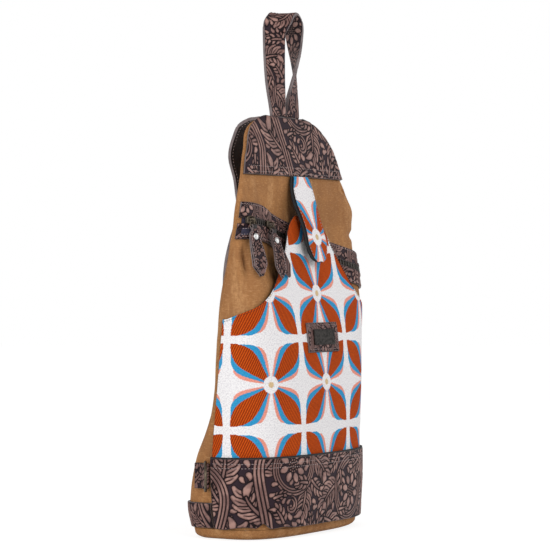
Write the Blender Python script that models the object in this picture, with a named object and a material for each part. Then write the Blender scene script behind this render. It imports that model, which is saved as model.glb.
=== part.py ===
"""Tall sling backpack of waxed canvas, tooled leather and jacquard cloth.

Metres, +Z up. The bag stands on its base with the origin at the middle of the base.
Its front faces -Y, and +X is to the right of someone who looks at the front.
"""

import math

import bmesh
import bpy
from mathutils import Matrix, Vector

# Clearances and sheet thicknesses
TOUCH = 0.0004            # gap between small pieces that are sewn or set together
SOFT_GAP = 0.0007         # gap under the wide cloths that wrap round the front
CANVAS = 0.0014
LEATHER = 0.0018
STRAP_LEATHER = 0.0030

# Heights on the bag
BAND_FOOT = 0.0100
BAND_TOP = 0.0760
CORNER_TOP = 0.0340
CORNER_SHARES = (0.015, 0.36)   # of the back half that each corner piece covers
SEAM_EDGE = 0.0010        # from a panel's edge to the seam beside it
YOKE_SEAM_GAP = 0.0030
POCKET_SEAM_GAP = 0.0015
POCKET_SIDE_TOP = 0.2050
POCKET_PEAK = 0.3020
YOKE_SEAM = 0.3400
BODY_TOP = 0.3970

# The body's ribs: height, half width, y of the side seam, y of the front, y of the back,
# squareness of the front half, squareness of the back half
RIBS = (
    (BAND_FOOT, 0.1030, 0.0080, -0.0455, 0.0465, 3.2, 5.0),
    (0.0280, 0.1055, 0.0100, -0.0475, 0.0495, 3.0, 5.0),
    (0.0500, 0.1070, 0.0110, -0.0485, 0.0490, 3.0, 4.4),
    (BAND_TOP, 0.1080, 0.0110, -0.0488, 0.0440, 2.9, 3.6),
    (0.1100, 0.1080, 0.0085, -0.0485, 0.0350, 2.8, 2.8),
    (0.1450, 0.1080, 0.0050, -0.0475, 0.0290, 2.8, 2.3),
    (0.1870, 0.1075, 0.0015, -0.0435, 0.0245, 3.4, 2.1),
    (0.2270, 0.1070, -0.0025, -0.0370, 0.0205, 5.0, 2.1),
    (0.2520, 0.1065, -0.0070, -0.0322, 0.0165, 4.6, 2.1),
    (0.2830, 0.1060, -0.0130, -0.0265, 0.0080, 3.2, 2.2),
    (0.3100, 0.1050, -0.0160, -0.0212, 0.0000, 2.8, 2.4),
    (0.3290, 0.0980, -0.0140, -0.0176, -0.0020, 2.4, 2.4),
    (YOKE_SEAM, 0.0925, -0.0118, -0.0157, -0.0027, 2.2, 2.4),
    (0.3560, 0.0845, -0.0085, -0.0125, -0.0015, 2.2, 2.4),
    (0.3680, 0.0770, -0.0065, -0.0105, -0.0005, 2.2, 2.4),
    (0.3790, 0.0680, -0.0045, -0.0085, 0.0005, 2.2, 2.4),
    (0.3880, 0.0570, -0.0030, -0.0070, 0.0015, 2.2, 2.4),
    (0.3940, 0.0430, -0.0020, -0.0055, 0.0020, 2.2, 2.4),
    (BODY_TOP, 0.0290, -0.0010, -0.0045, 0.0022, 2.2, 2.4),
)
# The base's rounded edge: height and how far it is set in
BASE_PROFILE = ((0.0, 0.0090), (0.0012, 0.0045), (0.0040, 0.0012), (BAND_FOOT - TOUCH, 0.0))
FRONT_POINTS = 26         # on the front half of a section
BACK_POINTS = 16          # on the back half
RING_STEP = 0.0095

# The hollow that the slip pocket leaves in front of the canvas
DENT = 0.0080
DENT_FOOT = 0.1150
DENT_FOOT_FADE = 0.0500
DENT_HEAD = 0.3360
DENT_HEAD_FADE = 0.0380
DENT_CORE = 0.0420
DENT_HALF = 0.0960

# Zip across the upper front: its middle line as arc from the bag's middle line and height
ZIP_LINE = ((-0.1150, 0.2962), (-0.0950, 0.2962), (-0.0670, 0.2938), (-0.0460, 0.2874),
            (-0.0200, 0.2802), (0.0300, 0.2680), (0.0700, 0.2580), (0.1150, 0.2470))
ZIP_SEAM_GAP = 0.0044     # from the ends of the zip's strips to the side seams
TAPE_THICK = 0.0008
FACING_WIDTH = 0.0120
TAPE_WIDTH = 0.0094
CHAIN_WIDTH = 0.0046
CHAIN_HEIGHT = 0.0016
TOOTH_PITCH = 0.0042
CHAIN_END = 0.0030        # from the last tooth to the end of the tape
# One tooth along its pitch, and its height as a share of the chain's
TOOTH_SHAPE = ((0.0, 0.35), (0.08, 1.0), (0.55, 1.0), (0.63, 0.35))

# Zip sliders, bails and pulls
SLIDER_RUNS = (0.0074, 0.0416)    # from the tape's left end to each slider
SLIDER_LENGTH = 0.0105
SLIDER_WIDTH = 0.0082
SLIDER_THICK = 0.0018
CROWN_HEIGHT = 0.0046
CROWN_REACH = 0.0026      # from the crown's middle to each of its feet
CROWN_ARCH = 0.6          # the round share of the crown's height
CROWN_WIRE = 0.0008
BAIL_WIRE = 0.0007
BAIL_WIDTH = 0.0084
BAIL_LENGTH = 0.0062
BAIL_CORNER = 0.0016
BAIL_ROOM = 0.0003        # round the bail's wire, inside the fold of the pull
PULL_WIDTH = 0.0176
PULL_TOP_WIDTH = 0.0120
PULL_LENGTH = 0.0465
PULL_POINT = 0.0100       # length of the pull's pointed end
PULL_THICK = 0.0026
PULL_RIVET = 0.0032
PULL_REST_DROP = 0.0520
PULL_CLEAR = 0.0034

# Pocket and closure tab
POCKET_FOOT = 0.0640
POCKET_EDGE = ((0.0235, POCKET_PEAK), (0.0350, 0.2955), (0.0430, 0.2875), (0.0475, 0.2800),
               (0.0520, 0.2715), (0.0660, 0.2520), (0.0785, 0.2345), (0.0960, 0.2195),
               (0.1110, 0.2120), (0.1290, POCKET_SIDE_TOP))
TAB_EDGE = ((YOKE_SEAM, 0.0140), (0.3270, 0.0185), (0.3130, 0.0190), (0.3000, 0.0175),
            (0.2850, 0.0170), (0.2740, 0.0176), (0.2680, 0.0162), (0.2600, 0.0115),
            (0.2565, 0.0050))
TAB_THICK = 0.0026
SNAP_DROP = 0.0280        # from the pocket's peak down to the snap
SNAP_HEIGHT = POCKET_PEAK - SNAP_DROP
SNAP_RADIUS = 0.0065
SNAP_HALF = 0.0026        # thickness of each half of the snap
SNAP_BED = 0.0003         # more room under each half, because the cloth there is curved
# How far the tab stands off the pocket, by its share of the way from the yoke to the snap
TAB_RISE = ((0.0, 0.0006), (0.27, 0.0012), (0.45, 0.0024), (0.60, 0.0042), (0.80, 0.0062),
            (1.0, 2.0 * SNAP_HALF + 2.0 * SNAP_BED + 3.0 * TOUCH), (1.27, 0.0074))

# Label on the pocket
LABEL_X = -0.0020
LABEL_HEIGHT = 0.1865
LABEL_SIZE = (0.0560, 0.0275)
PLATE_SIZE = (0.0390, 0.0148)
PLATE_THICK = 0.0012

# Carry loop from its left foot to its right one: x and height, and the strap's turn in degrees
HANDLE_LINE = (
    (-0.0120, 0.3975), (-0.0140, 0.4120), (-0.0172, 0.4300), (-0.0187, 0.4460),
    (-0.0193, 0.4600), (-0.0193, 0.4750), (-0.0178, 0.4850), (-0.0130, 0.4925),
    (-0.0050, 0.4966), (0.0045, 0.4962), (0.0128, 0.4912), (0.0177, 0.4820),
    (0.0194, 0.4680), (0.0202, 0.4540), (0.0194, 0.4400), (0.0170, 0.4250),
    (0.0142, 0.4100), (0.0132, 0.3975),
)
HANDLE_TURNS = (0.0, -6.0, -14.0, -19.0, -22.0, -26.0, -35.0, -50.0, -66.0,
                -79.0, -93.0, -106.0, -119.0, -134.0, -149.0, -163.0, -175.0, -180.0)
HANDLE_WIDTH = 0.0240
HANDLE_Y = -0.0028
TANGENT_STEP = 0.1        # share of one row between the points that give a strap's direction

# Shoulder strap's middle line from the top seam down: x, y, height, half width, lift of its face
STRAP_ROWS = (
    (0.0000, 0.0032, 0.3950, 0.0380, 4.0),
    (0.0000, 0.0105, 0.3925, 0.0500, 3.0),
    (0.0000, 0.0195, 0.3850, 0.0560, 1.0),
    (0.0000, 0.0262, 0.3720, 0.0530, 0.3),
    (0.0000, 0.0290, 0.3550, 0.0450, 0.0),
    (0.0000, 0.0300, 0.3350, 0.0350, 0.0),
    (0.0000, 0.0345, 0.3130, 0.0260, 0.0),
    (0.0000, 0.0410, 0.2900, 0.0210, 0.0),
    (0.0000, 0.0475, 0.2650, 0.0190, 0.0),
    (0.0005, 0.0510, 0.2400, 0.0190, 0.0),
    (0.0018, 0.0535, 0.2150, 0.0190, 0.0),
    (0.0055, 0.0555, 0.1930, 0.0190, 0.0),
)
LOWER_STRAP_ROWS = (
    (0.0400, 0.0615, 0.1240, 0.0190, 0.0),
    (0.0560, 0.0635, 0.1120, 0.0175, 0.0),
    (0.0720, 0.0650, 0.0990, 0.0130, 0.0),
    (0.0860, 0.0660, 0.0870, 0.0110, 0.0),
)
STRAP_TIP_HALF = 0.0110    # half width of the lower strap's end in the hook's eye
STRAP_HALF = 0.0190
STRAP_SEWN = 0.0135        # length of a folded strap end that is sewn down
STRAP_JOIN = 0.0100        # from a bar to where both layers of the folded end lie together

# Wire frame between the two lengths of strap
SLIDE_PLACE = (0.0200, 0.0565, 0.1560)
SLIDE_LINE = (0.4580, 0.0980, -0.8830)
SLIDE_HALF = 0.0080
SLIDE_WIRE = 0.0014
LOOP_CORNER = 0.0030      # bend of the wire frame and of the hook's eye
STRAP_ROOM = 0.0010       # beside a strap in its wire loop

# Snap hook on the right-hand ring
HOOK_LINE = (-0.6200, 0.7400, 0.2600)
HOOK_WIRE = 0.0018
HOOK_BOWL = 0.0058
HOOK_TIP = 0.0035         # from the bowl's middle to the open end of the wire
SHANK_FOOT = 0.0080       # where the straight shank starts above the bowl
SHANK_BEND = 0.0022       # height of the bend from the shank into the collar
COLLAR_RADIUS = 0.0040
COLLAR_FOOT = 0.0180
COLLAR_HEIGHT = 0.0036
POST_RADIUS = 0.0014
POST_CLEAR = 0.0005
POST_HEAD = 0.0011        # rise and overhang of the post's head inside the hook
GATE_CLEAR = 0.0009
EYE_FOOT = 0.0245
EYE_HEIGHT = 0.0090
GATE_WIRE = 0.0013

# Rings on the sides
RING_HEIGHT = 0.0595
RING_BAR = 0.0275
RING_REACH = 0.0190
RING_WIRE = 0.0016
RING_AXIS_Y = 0.0158
TAB_HEIGHT = 0.0235
TAB_SEWN_LENGTH = 0.0125
TAB_PLY = 0.0015
LEFT_SWING = 1.00         # how far each ring stands out from the gusset, in radians
RIGHT_SWING = 2.29


def smooth_between(stations, height):
    """A value read from a smooth curve through (height, value) stations."""
    rising = sorted(stations)
    if height <= rising[0][0]:
        return rising[0][1]
    if height >= rising[-1][0]:
        return rising[-1][1]
    index = max(i for i in range(len(rising) - 1) if rising[i][0] <= height)

    def slope(i):
        low = rising[max(i - 1, 0)]
        high = rising[min(i + 1, len(rising) - 1)]
        return (high[1] - low[1]) / (high[0] - low[0])

    (z0, v0), (z1, v1) = rising[index], rising[index + 1]
    span = z1 - z0
    t = (height - z0) / span
    near = (2 * t ** 3 - 3 * t ** 2 + 1) * v0 + (t ** 3 - 2 * t ** 2 + t) * span * slope(index)
    far = (3 * t ** 2 - 2 * t ** 3) * v1 + (t ** 3 - t ** 2) * span * slope(index + 1)
    return near + far


def ease(value):
    """0 below 0, 1 above 1, smooth between."""
    t = min(max(value, 0.0), 1.0)
    return t * t * (3.0 - 2.0 * t)


def ramp(value, bend=0.2):
    """0 below 0, 1 above 1, straight between, with both ends rounded."""
    t = min(max(value, 0.0), 1.0)
    if t < bend:
        rise = t * t / (2.0 * bend)
    elif t > 1.0 - bend:
        rise = 1.0 - bend - (1.0 - t) ** 2 / (2.0 * bend)
    else:
        rise = t - bend / 2.0
    return rise / (1.0 - bend)


def rib(height):
    """Half width, seam y, front y, back y and the two squarenesses at a height."""
    columns = range(1, 7)
    return [smooth_between([(row[0], row[column]) for row in RIBS], height) for column in columns]


def half_section(half_width, seam_y, crown_y, power, count):
    """Points of one half of a section, from the left seam to the right seam."""
    points = []
    for step in range(count + 1):
        angle = math.pi * step / count
        across = -math.copysign(abs(math.cos(angle)) ** (2.0 / power), math.cos(angle))
        depth = max(math.sin(angle), 0.0) ** (2.0 / power)
        points.append((half_width * across, seam_y + (crown_y - seam_y) * depth))
    return points


FRONT_CACHE = {}


def front_outline(height):
    """Dense front half section and the arc length from its middle at every point."""
    key = round(height, 6)
    if key not in FRONT_CACHE:
        half_width, seam_y, front_y, _, power, _ = rib(height)
        points = half_section(half_width, seam_y, front_y, power, 240)
        lengths = [0.0]
        for before, after in zip(points, points[1:]):
            lengths.append(lengths[-1] + math.dist(before, after))
        middle = lengths[-1] / 2.0
        FRONT_CACHE[key] = (points, [length - middle for length in lengths])
    return FRONT_CACHE[key]


def front_half_arc(height):
    """Arc length from the middle of the front to a side seam."""
    return front_outline(height)[1][-1]


def on_front(arc, height):
    """The point of the bag's front skin at an arc length from its middle line."""
    points, lengths = front_outline(height)
    arc = min(max(arc, lengths[0]), lengths[-1])
    low, high = 0, len(lengths) - 1
    while high - low > 1:
        middle = (low + high) // 2
        if lengths[middle] <= arc:
            low = middle
        else:
            high = middle
    share = (arc - lengths[low]) / (lengths[high] - lengths[low])
    x = points[low][0] + (points[high][0] - points[low][0]) * share
    y = points[low][1] + (points[high][1] - points[low][1]) * share
    return Vector((x, y, height))


def front_normal(arc, height):
    """The outward normal of the front skin."""
    small = 0.0015
    reach = front_half_arc(height) - small
    arc = min(max(arc, -reach), reach)
    low = max(height - small, RIBS[0][0])
    high = min(height + small, BODY_TOP)
    across = on_front(arc + small, height) - on_front(arc - small, height)
    up = on_front(arc, high) - on_front(arc, low)
    return across.cross(up).normalized()


def dent_at(x, height):
    """How far the canvas lies behind the front skin, where the slip pocket covers it."""
    across = 1.0 - ramp((abs(x) - DENT_CORE) / (DENT_HALF - DENT_CORE))
    up = ease((height - DENT_FOOT) / DENT_FOOT_FADE) * ease((DENT_HEAD - height) / DENT_HEAD_FADE)
    return DENT * across * up


def front_point(arc, height, lift=0.0, dented=False):
    """A point above the front skin, or above the canvas where it is dented."""
    skin = on_front(arc, height)
    if dented:
        lift -= dent_at(skin.x, height)
    return skin + front_normal(arc, height) * lift


def make_material(name, colour, roughness, metallic=0.0):
    material = bpy.data.materials.new(name)
    material.use_nodes = True
    shader = material.node_tree.nodes["Principled BSDF"]
    shader.inputs["Base Color"].default_value = (*colour, 1.0)
    shader.inputs["Roughness"].default_value = roughness
    shader.inputs["Metallic"].default_value = metallic
    return material


def canvas_look(name):
    return make_material(name, (0.39, 0.18, 0.065), 0.85)


def leather_look(name):
    return make_material(name, (0.10, 0.055, 0.050), 0.50)


def cloth_look(name):
    return make_material(name, (0.55, 0.45, 0.42), 0.90)


def brass_look(name):
    return make_material(name, (0.20, 0.17, 0.12), 0.40, 1.0)


def silver_look(name):
    return make_material(name, (0.60, 0.60, 0.60), 0.30, 1.0)


def dark_look(name):
    return make_material(name, (0.03, 0.03, 0.04), 0.80)


def finish(name, bm, look, parent=None, sharp_degrees=40.0):
    """Turn a bmesh in world coordinates into a shaded object, under an empty if it moves."""
    bmesh.ops.recalc_face_normals(bm, faces=bm.faces)
    mesh = bpy.data.meshes.new(name)
    bm.to_mesh(mesh)
    bm.free()
    mesh.shade_smooth()
    mesh.set_sharp_from_angle(angle=math.radians(sharp_degrees))
    mesh.materials.append(look(name + "_finish"))
    part = bpy.data.objects.new(name, mesh)
    bpy.context.collection.objects.link(part)
    if parent:
        mesh.transform(parent.matrix_world.inverted())
        part.parent = parent
    return part


def pivot(name, place, turn=None):
    """An empty on a joint's axis, which carries the pieces that move about it."""
    empty = bpy.data.objects.new(name, None)
    bpy.context.collection.objects.link(empty)
    empty.matrix_world = Matrix.LocRotScale(place, turn, None)
    bpy.context.view_layer.update()
    return empty


def add_modifier(part, kind, **settings):
    modifier = part.modifiers.new(kind.title(), kind)
    for key, value in settings.items():
        setattr(modifier, key, value)
    return modifier


def loft(name, rings, look, parent=None, sharp_degrees=40.0):
    """A closed solid extruded from ring to ring, capped at both ends."""
    bm = bmesh.new()
    bmesh.ops.create_circle(bm, cap_ends=True, segments=len(rings[0]), radius=1.0)
    cap = bm.faces[:][0]
    for vert, place in zip(cap.verts, rings[0]):
        vert.co = place
    foot = cap
    for ring in rings[1:]:
        made = bmesh.ops.extrude_face_region(bm, geom=[cap])["geom"]
        if cap is not foot:
            bmesh.ops.delete(bm, geom=[cap], context="FACES_ONLY")
        cap = next(item for item in made if isinstance(item, bmesh.types.BMFace))
        for vert, place in zip(cap.verts, ring):
            vert.co = place
    return finish(name, bm, look, parent, sharp_degrees)


def panel(name, columns, rows, place, thickness, look, offset=1.0):
    """A sheet laid by place(across, up), both 0 to 1, thickened to its outer side."""
    bm = bmesh.new()
    bmesh.ops.create_grid(bm, x_segments=columns, y_segments=rows, size=0.5)
    for vert in bm.verts:
        vert.co = place(vert.co.x + 0.5, vert.co.y + 0.5)
    mesh = bpy.data.meshes.new(name)
    bm.to_mesh(mesh)
    bm.free()
    mesh.shade_smooth()
    mesh.set_sharp_from_angle(angle=math.radians(50.0))
    mesh.materials.append(look(name + "_finish"))
    part = bpy.data.objects.new(name, mesh)
    bpy.context.collection.objects.link(part)
    add_modifier(part, "SOLIDIFY", thickness=thickness, offset=offset, use_even_offset=True)
    return part


def tube(name, points, radius, look, closed=False, parent=None, sides=8):
    """Round wire along a line, bent smoothly."""
    count = len(points)
    rings = []
    normal = None
    for index, point in enumerate(points):
        before = points[index - 1] if index or closed else points[0]
        after = points[(index + 1) % count] if index < count - 1 or closed else points[-1]
        along = (after - before).normalized()
        if normal is None:
            normal = along.orthogonal().normalized()
        normal = (normal - along * normal.dot(along)).normalized()
        side = along.cross(normal)
        ring = []
        for step in range(sides):
            angle = 2.0 * math.pi * step / sides
            ring.append(point + normal * radius * math.cos(angle) + side * radius * math.sin(angle))
        rings.append(ring)
    if not closed:
        return loft(name, rings, look, parent, 60.0)
    bm = bmesh.new()
    loops = [[bm.verts.new(place) for place in ring] for ring in rings]
    for near, far in zip(loops, loops[1:] + loops[:1]):
        for step in range(sides):
            after = (step + 1) % sides
            bm.faces.new((near[step], near[after], far[after], far[step]))
    return finish(name, bm, look, parent, 60.0)


def body_ring(height):
    """One closed section of the canvas body, dented behind the pocket."""
    half_width, seam_y, _, back_y, _, back_power = rib(height)
    reach = front_half_arc(height)
    ring = []
    for step in range(FRONT_POINTS):
        even = 2.0 * step / FRONT_POINTS - 1.0
        crowded = -math.cos(math.pi * step / FRONT_POINTS)
        ring.append(front_point(reach * (even + crowded) / 2.0, height, 0.0, dented=True))
    for x, y in reversed(half_section(half_width, seam_y, back_y, back_power, BACK_POINTS)[1:]):
        ring.append(Vector((x, y, height)))
    return ring


def make_body():
    """The filled bag: front skin, gussets and back in one closed soft solid."""
    heights = []
    for low, high in zip(RIBS, RIBS[1:]):
        steps = max(1, round((high[0] - low[0]) / RING_STEP))
        heights += [low[0] + (high[0] - low[0]) * step / steps for step in range(steps)]
    heights.append(BODY_TOP)
    rings = [body_ring(height) for height in heights]
    loft("canvas_body", rings, canvas_look)


def make_base():
    """Canvas bottom panel, rounded under at its edge."""
    half_width, seam_y, front_y, back_y, front_power, back_power = rib(BAND_FOOT)
    rings = []
    for height, inset in BASE_PROFILE:
        front = half_section(half_width - inset, seam_y, front_y + inset, front_power, 20)
        back = half_section(half_width - inset, seam_y, back_y - inset, back_power, 20)
        outline = front[:-1] + list(reversed(back))[:-1]
        rings.append([Vector((x, y, height)) for x, y in outline])
    loft("base_panel", rings, canvas_look)


def make_front_yoke():
    """Tooled leather arch on the front of the top."""
    head = BODY_TOP - SEAM_EDGE

    def place(across, up):
        height = YOKE_SEAM + (head - YOKE_SEAM) * up
        reach = front_half_arc(height) - YOKE_SEAM_GAP
        return front_point((2.0 * across - 1.0) * reach, height, SOFT_GAP)

    panel("front_yoke", 16, 8, place, LEATHER, leather_look)


def make_lower_band():
    """Tooled leather across the foot of the front, over the pocket's lower edge."""
    foot = BAND_FOOT + SEAM_EDGE
    under = SOFT_GAP + CANVAS + SOFT_GAP

    def place(across, up):
        height = foot + (BAND_TOP - foot) * up
        reach = front_half_arc(height) - SEAM_EDGE
        return front_point((2.0 * across - 1.0) * reach, height, under)

    panel("lower_band", 34, 5, place, LEATHER, leather_look)


def on_back(share, height, lift):
    """A point of the back half, share 0 at the left seam and 1 at the right seam."""
    half_width, seam_y, _, back_y, _, power = rib(height)

    def spot(value):
        angle = math.pi * value
        across = -math.copysign(abs(math.cos(angle)) ** (2.0 / power), math.cos(angle))
        depth = max(math.sin(angle), 0.0) ** (2.0 / power)
        return Vector((half_width * across, seam_y + (back_y - seam_y) * depth, height))

    along = spot(min(share + 0.004, 1.0)) - spot(max(share - 0.004, 0.0))
    out = Vector((-along.y, along.x, 0.0)).normalized()
    return spot(share) + out * lift


def make_corner(side, name):
    """Leather round the foot of one gusset and on to the back."""
    foot = BAND_FOOT + SEAM_EDGE
    near, far = CORNER_SHARES

    def place(across, up):
        share = near + (far - near) * across
        height = foot + (CORNER_TOP - foot) * up
        point = on_back(share, height, TOUCH)
        point.x *= -side
        return point

    part = panel(name, 14, 3, place, LEATHER, leather_look)
    if side < 0:
        part.data.flip_normals()


def make_pocket():
    """Bell-shaped jacquard panel, which stands on the front skin and is open at its neck."""

    def place(across, up):
        share = 2.0 * across - 1.0
        top = smooth_between(POCKET_EDGE, abs(share) * front_half_arc(POCKET_SIDE_TOP))
        height = POCKET_FOOT + (top - POCKET_FOOT) * up
        return front_point(share * (front_half_arc(height) - POCKET_SEAM_GAP), height, SOFT_GAP)

    panel("front_pocket", 36, 15, place, CANVAS, cloth_look)


def tab_stand(height):
    return smooth_between(TAB_RISE, (YOKE_SEAM - height) / (YOKE_SEAM - SNAP_HEIGHT))


def make_closure_tab():
    """Jacquard tab from the yoke seam, standing off the pocket's peak."""
    top = YOKE_SEAM - 2.0 * TOUCH
    tip = min(height for height, _ in TAB_EDGE)

    def place(across, up):
        height = top + (tip - top) * (1.0 - up ** 1.35)
        half = smooth_between(TAB_EDGE, height)
        lift = SOFT_GAP + CANVAS + tab_stand(height)
        return front_point((2.0 * across - 1.0) * half, height, lift)

    panel("closure_tab", 8, 18, place, TAB_THICK, cloth_look)


def disc(name, place, normal, radius, thickness, look, parent=None, dome=0.0, sides=20):
    """A round plate or a domed head that rises along normal from place."""
    turn = Vector((0.0, 0.0, 1.0)).rotation_difference(normal)
    steps = [(radius, 0.0), (radius, thickness)]
    if dome:
        for angle in (30.0, 60.0, 80.0):
            share = math.cos(math.radians(angle))
            steps.append((radius * share, thickness + dome * math.sin(math.radians(angle))))
    rings = []
    for reach, rise in steps:
        ring = []
        for step in range(sides):
            angle = 2.0 * math.pi * step / sides
            spot = Vector((reach * math.cos(angle), reach * math.sin(angle), rise))
            ring.append(place + turn @ spot)
        rings.append(ring)
    return loft(name, rings, look, parent)


def make_snap():
    """The two halves of the snap that holds the tab to the pocket."""
    normal = front_normal(0.0, SNAP_HEIGHT)
    stud_foot = SOFT_GAP + CANVAS + TOUCH + SNAP_BED
    socket_foot = stud_foot + SNAP_HALF + TOUCH
    for name, foot in (("snap_stud", stud_foot), ("snap_socket", socket_foot)):
        disc(name, front_point(0.0, SNAP_HEIGHT, foot), normal, SNAP_RADIUS, SNAP_HALF, brass_look)


def zip_height(arc):
    return smooth_between(ZIP_LINE, arc)


def zip_end(side, offset=0.0):
    """The arc at which a line along the zip meets the gap before a side seam."""
    arc = side * front_half_arc(zip_height(0.0))
    for _ in range(8):
        arc = side * (front_half_arc(zip_height(arc) + offset) - ZIP_SEAM_GAP)
    return arc


def zip_strip(name, offset, width, lift, thickness, look):
    """A strip along the zip line, offset upwards or downwards from it."""

    def place(across, up):
        rise = offset + (up - 0.5) * width
        left = zip_end(-1.0, rise)
        arc = left + (zip_end(1.0, rise) - left) * across
        return front_point(arc, zip_height(arc) + rise, lift, dented=True)

    panel(name, 44, 2, place, thickness, look)


def make_zip():
    """Two leather facings with the tape and its teeth between them."""
    offset = (TAPE_WIDTH + FACING_WIDTH) / 2.0 + TOUCH
    zip_strip("zip_facing_upper", offset, FACING_WIDTH, SOFT_GAP, LEATHER, leather_look)
    zip_strip("zip_facing_lower", -offset, FACING_WIDTH, SOFT_GAP, LEATHER, leather_look)
    zip_strip("zip_tape", 0.0, TAPE_WIDTH, SOFT_GAP, TAPE_THICK, dark_look)
    make_chain()


def make_chain():
    """A row of teeth that rise from one strip, so that gap and tooth alternate."""
    lift = SOFT_GAP + TAPE_THICK + TOUCH
    start = zip_end(-1.0) + CHAIN_END
    count = int((zip_end(1.0) - CHAIN_END - start) / TOOTH_PITCH)
    half = CHAIN_WIDTH / 2.0
    rings = []
    for index in range(count):
        for share, rise in TOOTH_SHAPE:
            arc = start + (index + share) * TOOTH_PITCH
            height = zip_height(arc)
            top = lift + CHAIN_HEIGHT * rise
            rings.append([
                front_point(arc, height - half, lift, dented=True),
                front_point(arc, height - half, top, dented=True),
                front_point(arc, height + half, top, dented=True),
                front_point(arc, height + half, lift, dented=True),
            ])
    loft("zip_chain", rings, brass_look, sharp_degrees=30.0)


def slider_frame(arc):
    """Place and axes of a slider on the chain: along the zip, up the bag and outwards."""
    height = zip_height(arc)
    lift = SOFT_GAP + TAPE_THICK + TOUCH + CHAIN_HEIGHT + TOUCH
    place = front_point(arc, height, lift, dented=True)
    small = 0.003
    along = (front_point(arc + small, zip_height(arc + small), lift, dented=True)
             - front_point(arc - small, zip_height(arc - small), lift, dented=True)).normalized()
    out = front_normal(arc, height)
    out = (out - along * out.dot(along)).normalized()
    up = out.cross(along)
    return place, along, up, out


def slider_arc(run):
    """The arc length of a slider that stands this far along from the tape's left end."""
    return zip_end(-1.0) + run


def make_slider(side_name, run):
    """Slider plate with a wire crown, and the bail, pull and rivet that hang from it."""
    arc = slider_arc(run)
    place, along, up, out = slider_frame(arc)
    outline = []
    for share_along, share_up in ((-0.5, -0.36), (-0.5, 0.36), (-0.1, 0.5), (0.5, 0.42),
                                  (0.5, -0.42), (-0.1, -0.5)):
        outline.append((share_along * SLIDER_LENGTH, share_up * SLIDER_WIDTH))
    rings = []
    for rise, scale in ((0.0, 1.0), (SLIDER_THICK * 0.7, 1.0), (SLIDER_THICK, 0.88)):
        ring = [place + along * a * scale + up * b * scale + out * rise for a, b in outline]
        rings.append(ring)
    plate = loft("zip_slider_" + side_name, rings, brass_look, sharp_degrees=25.0)
    arch = tube("crown_tool_" + side_name, crown_points(place, up, out), CROWN_WIRE, brass_look, sides=6)
    join_tools(plate, [arch])
    level = on_front(arc + 0.0030, place.z) - on_front(arc - 0.0030, place.z)
    level.normalize()
    hang_pull(side_name, place, level, out)


def crown_points(place, up, out):
    """The crown's line: an arch across the slider, with both feet in its plate."""
    foot = SLIDER_THICK * 0.5
    spring = SLIDER_THICK + (CROWN_HEIGHT - SLIDER_THICK) * 0.4
    points = [place - up * CROWN_REACH + out * foot]
    for step in range(9):
        angle = math.pi * step / 8.0
        rise = spring + CROWN_HEIGHT * CROWN_ARCH * math.sin(angle)
        points.append(place - up * CROWN_REACH * math.cos(angle) + out * rise)
    points.append(place + up * CROWN_REACH + out * foot)
    return points


def slider_reach(x, height):
    """The arc length at which the front skin has this x at a height."""
    low, high = 0.0, front_half_arc(height)
    for _ in range(30):
        middle = (low + high) / 2.0
        if on_front(middle, height).x < abs(x):
            low = middle
        else:
            high = middle
    return low


def pull_axis(place, out):
    """The line under the crown about which the bail turns."""
    return place + out * (SLIDER_THICK + CROWN_HEIGHT * CROWN_ARCH * 0.52)


def hang_pull(side_name, place, along, out):
    """Wire bail under the crown, and a folded leather pull with a rivet on it."""
    axis = pull_axis(place, out)
    hinge = pivot("pull_axis_" + side_name, axis)
    tip_height = axis.z - PULL_REST_DROP
    tip_arc = axis.x / abs(axis.x) * slider_reach(axis.x, tip_height)
    rest = front_point(tip_arc, tip_height, SOFT_GAP + CANVAS + PULL_THICK / 2.0 + PULL_CLEAR)
    fall = (rest - axis).normalized()
    fall = (fall - along * fall.dot(along)).normalized()
    face = along.cross(-fall).normalized()
    if face.dot(out) < 0.0:
        face.negate()
    half = BAIL_WIDTH / 2.0
    corner = BAIL_CORNER
    points = [axis - along * (half - corner), axis + along * (half - corner)]
    points += [axis + along * half + fall * corner, axis + along * half + fall * (BAIL_LENGTH - corner)]
    points += [axis + along * (half - corner) + fall * BAIL_LENGTH]
    points += [axis - along * (half - corner) + fall * BAIL_LENGTH]
    points += [axis - along * half + fall * (BAIL_LENGTH - corner), axis - along * half + fall * corner]
    tube("pull_bail_" + side_name, points, BAIL_WIRE, brass_look, closed=True, parent=hinge, sides=6)
    fold = axis + fall * BAIL_LENGTH
    pull_outline(side_name, fold, along, fall, face, hinge)


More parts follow.
